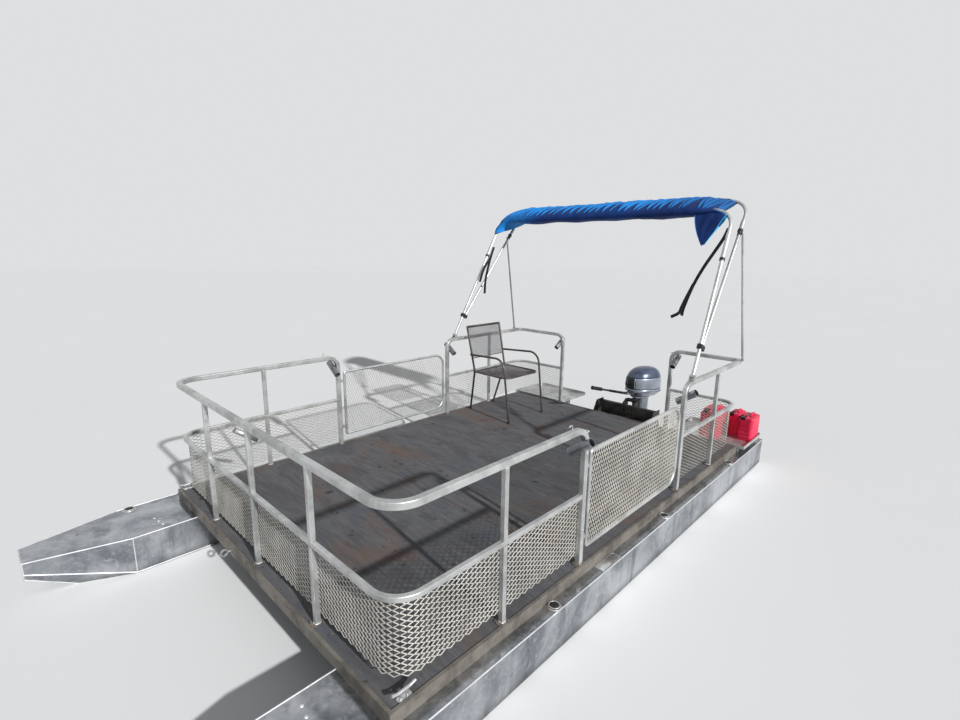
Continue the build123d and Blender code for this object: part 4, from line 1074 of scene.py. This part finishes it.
def deck_hardware():
    """Patch plate of the port pontoon, rail hooks and bolt heads of the gate posts."""
    shapes = [belt_shape(rounded_loop((*patch_place, 0.5012), *patch_size), 0.0018, 0.0014)]
    patch = [spot for spot, _ in rounded_loop((*patch_place, 0.4995), *patch_size)]
    shapes.append(slab_shape(patch, (0, 0, 0.0022)))
    bolt = [(0.0085, 0), (0.0085, 0.0012), (0.0065, 0.0013), (0.0065, 0.0055), (0.005, 0.0065)]
    bend = ((0, 0), (0, 0.019), (0.004, 0.030), (0.016, 0.034), (0.027, 0.028))
    for sign in (1, -1):
        hook = [(hook_x + x, sign * fence_y, hook_z + z) for x, z in bend]
        shapes.append(tube_shape(smooth_line(hook, 5), 0.0032, 8))
        for x, z in ((gate_post_x, 1.184), (gate_post_x, 0.760), (aft_post_x, 1.184)):
            place = (x, sign * (fence_y + post_size / 2), z)
            shapes.append(lathe_shape(bolt, place, (0, sign, 0), 12))
    joined_piece("deck_hardware", shapes, BRIGHT, "hull", "fittings")


def starboard_holder():
    """Short holder tube of the starboard fence, and the stub and plate at the pivot."""
    low, high = Vector((1.129, -1.176, 0.789)), Vector((1.283, -1.176, 0.900))
    along = high - low
    reach = along.length
    tube = [(0.0185, 0.002), (0.021, 0), (0.021, reach), (0.0185, reach), (0.0185, 0.01)]
    stub = [(-0.905, -fence_y, z) for z in (1.330, 1.392)]
    plate = [spot for spot, _ in rounded_loop((-0.930, -fence_y, 1.3295), 0.125, 0.032, 0.008)]
    shapes = [lathe_shape(tube, low, along, 24), tube_shape(stub, 0.008, 12)]
    shapes.append(slab_shape(plate, (0, 0, 0.004)))
    joined_piece("starboard_holder", shapes, METAL, "hull", "rail")


# Outboard
def motor_point(ahead, side, z):
    """Point of the steered motor: ahead of and to port of its swivel axis."""
    turn = radians(steer_angle)
    x = steer_axis[0] + cos(turn) * ahead + sin(turn) * side
    return Vector((x, steer_axis[1] - sin(turn) * ahead + cos(turn) * side, z))


motor_ahead = motor_point(1, 0, 0) - motor_point(0, 0, 0)


def cowl_ring(share, grow=0.0):
    """Ring of the cowl at a share of its height: a soft-cornered oblong under a domed top."""
    rise = max(0.0, (share - 0.3) / 0.7)
    scale = sqrt(1 - 0.74 * rise ** 2.9)
    half_length = cowl_length / 2 * scale + grow
    half_width = cowl_width / 2 * scale * (1 - 0.03 * rise) + grow
    middle = cowl_middle - 0.014 * rise * rise
    ring = []
    for k in range(cowl_around):
        angle = 2 * pi * (k + 0.5) / cowl_around
        a, b = cos(angle), sin(angle)
        reach = (abs(a) ** cowl_squareness + abs(b) ** cowl_squareness) ** (-1 / cowl_squareness)
        ring.append((middle + half_length * a * reach, half_width * b * reach))
    return ring


def cowl_level(share):
    return cowl_base + cowl_height * 0.95 * share


def cowl_paint(share, column):
    """Paint of a face of the cowl: 0 is blue (on the dome partly a painted sky reflection), 1 silver
    and 2 black.
    """
    if share < 0.104:
        return 1
    if share < 0.13 or 0.604 < share < 0.618:
        return 2
    front = column < cowl_front or column >= cowl_around - cowl_front
    return 0 if share >= 0.6 else 2 if front else 1


def motor_cowl():
    """Cowl with a lower band, a groove, silver panels with a dark front and a blue dome, its blue
    partly a painted reflection of the sky.
    """
    levels = [(0.0, -0.004), (0.02, 0.0), (0.10, 0.0), (0.112, -0.004), (0.124, -0.004), (0.136, 0.0)]
    levels += [(0.136 + 0.464 * k / 12, 0.0) for k in range(1, 13)]
    levels += [(0.607, -0.003), (0.614, -0.003), (0.621, 0.0)]
    levels += [(0.621 + 0.379 * k / 14, 0.0) for k in range(1, 15)]
    points = []
    for share, grow in levels:
        points += [motor_point(a, b, cowl_level(share)) for a, b in cowl_ring(share, grow)]
    crown = cowl_ring(1.0)
    middle = sum(a for a, _ in crown) / cowl_around
    for scale, rise in ((0.86, 0.958), (0.6, 0.978), (0.3, 0.995)):
        z = cowl_base + cowl_height * rise
        points += [motor_point(middle + (a - middle) * scale, b * scale, z) for a, b in crown]
        levels.append((1.0 + rise, 0.0))
    shares = [(a[0] + b[0]) / 2 for a, b in zip(levels, levels[1:])]
    paints = [cowl_paint(share, column) for share in shares for column in range(cowl_around)]
    faces = capped_faces(len(levels), cowl_around)
    paint = (COWL_BLUE_AND_SKY, PANEL, BLACK)
    made = piece_from("cowl_shell", points, faces, paint, "motor_steering", "cowl")
    made.data.polygons.foreach_set("material_index", [*paints, 2, 0])
    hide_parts("motor_cowl")


def cowl_details():
    """Pull knob, bright edges of the front panel and the latch at the back."""
    knob = [(0.006, -0.004), (0.006, 0.010), (0.017, 0.013), (0.020, 0.018)]
    knob += [(0.019, 0.024), (0.012, 0.028), (0.004, 0.029)]
    boss = [(0.026, -0.004), (0.026, 0.002), (0.022, 0.005)]
    at = motor_point(cowl_middle + cowl_length / 2 - 0.001, -0.006, knob_z)
    dark = [lathe_shape(profile, at, motor_ahead, 24) for profile in (knob, boss)]
    joined_piece("starter_knob", dark, BLACK, "motor_steering", "motor_dark")
    bright = []
    for column in (cowl_front - 1, -cowl_front):
        shares = [0.15 + 0.04 * k for k in range(12)]
        line = [motor_point(*cowl_ring(share)[column], cowl_level(share)) for share in shares]
        bright.append(tube_shape(line, 0.0035, 8))
    corners = ((-1, 0.776), (1, 0.776), (1, 0.826), (-1, 0.826))
    back = cowl_middle - cowl_length / 2 - 0.004
    latch = [motor_point(back, hand * latch_half, z) for hand, z in corners]
    bright.append(slab_shape(latch, motor_ahead * 0.008))
    joined_piece("cowl_edges", bright, BRIGHT, "motor_steering", "cowl")


def tiller_grip():
    """Ribs and end cap of the tiller's twist grip."""
    rise = radians(tiller_rise)
    along = motor_ahead * cos(rise) + Vector((0, 0, sin(rise)))
    pivot = motor_point(tiller_pivot[0], 0, tiller_pivot[1])
    rib = [(0.0165, 0), (0.0185, 0.0015), (0.0185, 0.0045), (0.0165, 0.006)]
    shapes = []
    for k in range(13):
        at = pivot + along * (tiller_length - grip_length + 0.006 + k * grip_pitch)
        shapes.append(lathe_shape(rib, at, along, 20))
    cap = [(0.017, -0.004), (0.020, 0.002), (0.021, 0.008), (0.017, 0.014), (0.008, 0.017)]
    shapes.append(lathe_shape(cap, pivot + along * (tiller_length - 0.012), along, 20))
    joined_piece("tiller_grip", shapes, RUBBER, "tiller", "rubber")


# Fuel tanks
def tank_details():
    """Level ribs, a raised handle and ridged cap skirts of the three red tanks."""
    ribs, ridges = [], []
    for name in ("outer", "middle", "inner"):
        low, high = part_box(f"fuel_tank_{name}")
        middle, size = (low + high) / 2, high - low
        for k in range(int((size.z - 0.075) / rib_spacing)):
            place = (middle.x, middle.y, low.z + rib_spacing * (k + 1))
            ribs.append(belt_shape(rounded_loop(place, size.x, size.y, tank_corner), 0.0028, 0.0055))
        back, front = low.x + 0.030, low.x + size.x * 0.62
        rise = ((0, -0.004), (0.014, 0.006), (0.035, 0.011))
        arch = [(back + x, z) for x, z in rise] + [(front - x, z) for x, z in rise[::-1]]
        grip = [(x, middle.y + size.y * 0.12, high.z + z) for x, z in arch]
        ribs.append(tube_shape(smooth_line(grip, 6), handle_radius, 14))
        cap = Vector((high.x - cap_inset, low.y + size.y * 0.45 / 2, high.z - 0.028))
        for a, b in turns(cap_ridges):
            spot = cap + Vector((a, b, 0)) * 0.0212
            ridges.append(tube_shape([spot + Vector((0, 0, z)) for z in (0.003, 0.021)], 0.0014, 5))
    joined_piece("tank_ribs", ribs, RED, "hull", "fuel_red")
    joined_piece("cap_ridges", ridges, BLACK, "hull", "black_plastic", smooth=False)


# Camera, light and floor
def set_camera():
    data = bpy.data.cameras.new("camera")
    data.sensor_width = 36
    data.lens = focal_pixels / image_width * data.sensor_width
    data.clip_start, data.clip_end = 0.05, 200
    pose = Matrix.Translation(camera_place)
    for angle, axis in ((camera_heading - 90, "Z"), (90 - camera_pitch, "X"), (camera_roll, "Z")):
        pose @= Matrix.Rotation(radians(angle), 4, axis)
    camera = placed("camera", data)
    camera.matrix_world = pose
    bpy.context.scene.camera = camera


def set_world():
    """Soft sky light, and a plain pale backdrop for what camera, metal and glass see."""
    world = bpy.data.worlds.new("studio")
    bpy.context.scene.world = world
    world.use_nodes = True
    tree = world.node_tree
    light = tree.nodes["Background"]
    light.inputs["Color"].default_value = sky_colour
    light.inputs["Strength"].default_value = sky_strength
    path = node(tree, "LightPath")
    seen_by = path["Is Camera Ray"]
    for ray in ("Is Glossy Ray", "Is Transmission Ray"):
        seen_by = node(tree, "Math", {0: seen_by, 1: path[ray]}, operation="MAXIMUM")["Value"]
    seen = node(tree, "Background", {"Color": rgb(*backdrop)})[0]
    mixed = node(tree, "MixShader", {0: seen_by, 1: light.outputs[0], 2: seen})[0]
    tree.links.new(mixed, tree.nodes["World Output"].inputs["Surface"])


def set_sun():
    data = bpy.data.lights.new("sun", "SUN")
    data.energy = sun_strength
    data.angle = radians(sun_angle)
    lamp = placed("sun", data)
    lamp.rotation_mode = "QUATERNION"
    lamp.rotation_quaternion = Vector(sun_way).to_track_quat("-Z", "Y")


def lay_floor():
    mesh = bpy.data.meshes.new("floor")
    signs = ((-1, -1), (1, -1), (1, 1), (-1, 1))
    corners = [(x * floor_half, y * floor_half, waterline) for x, y in signs]
    mesh.from_pydata(corners, [], [(0, 1, 2, 3)])
    mesh.materials.append(pale_floor())
    placed("floor", mesh)


bpy.context.scene.view_settings.view_transform = "Standard"
for build in (
    set_camera, set_world, set_sun, lay_floor, fence_screens, gate_screens, canvas_boot,
    canvas_flap, straps, chair_screens, hull_beads, port_details, post_fixings, deck_screws,
    deck_hardware, starboard_holder, motor_cowl, cowl_details, tiller_grip, tank_details,
):
    build()
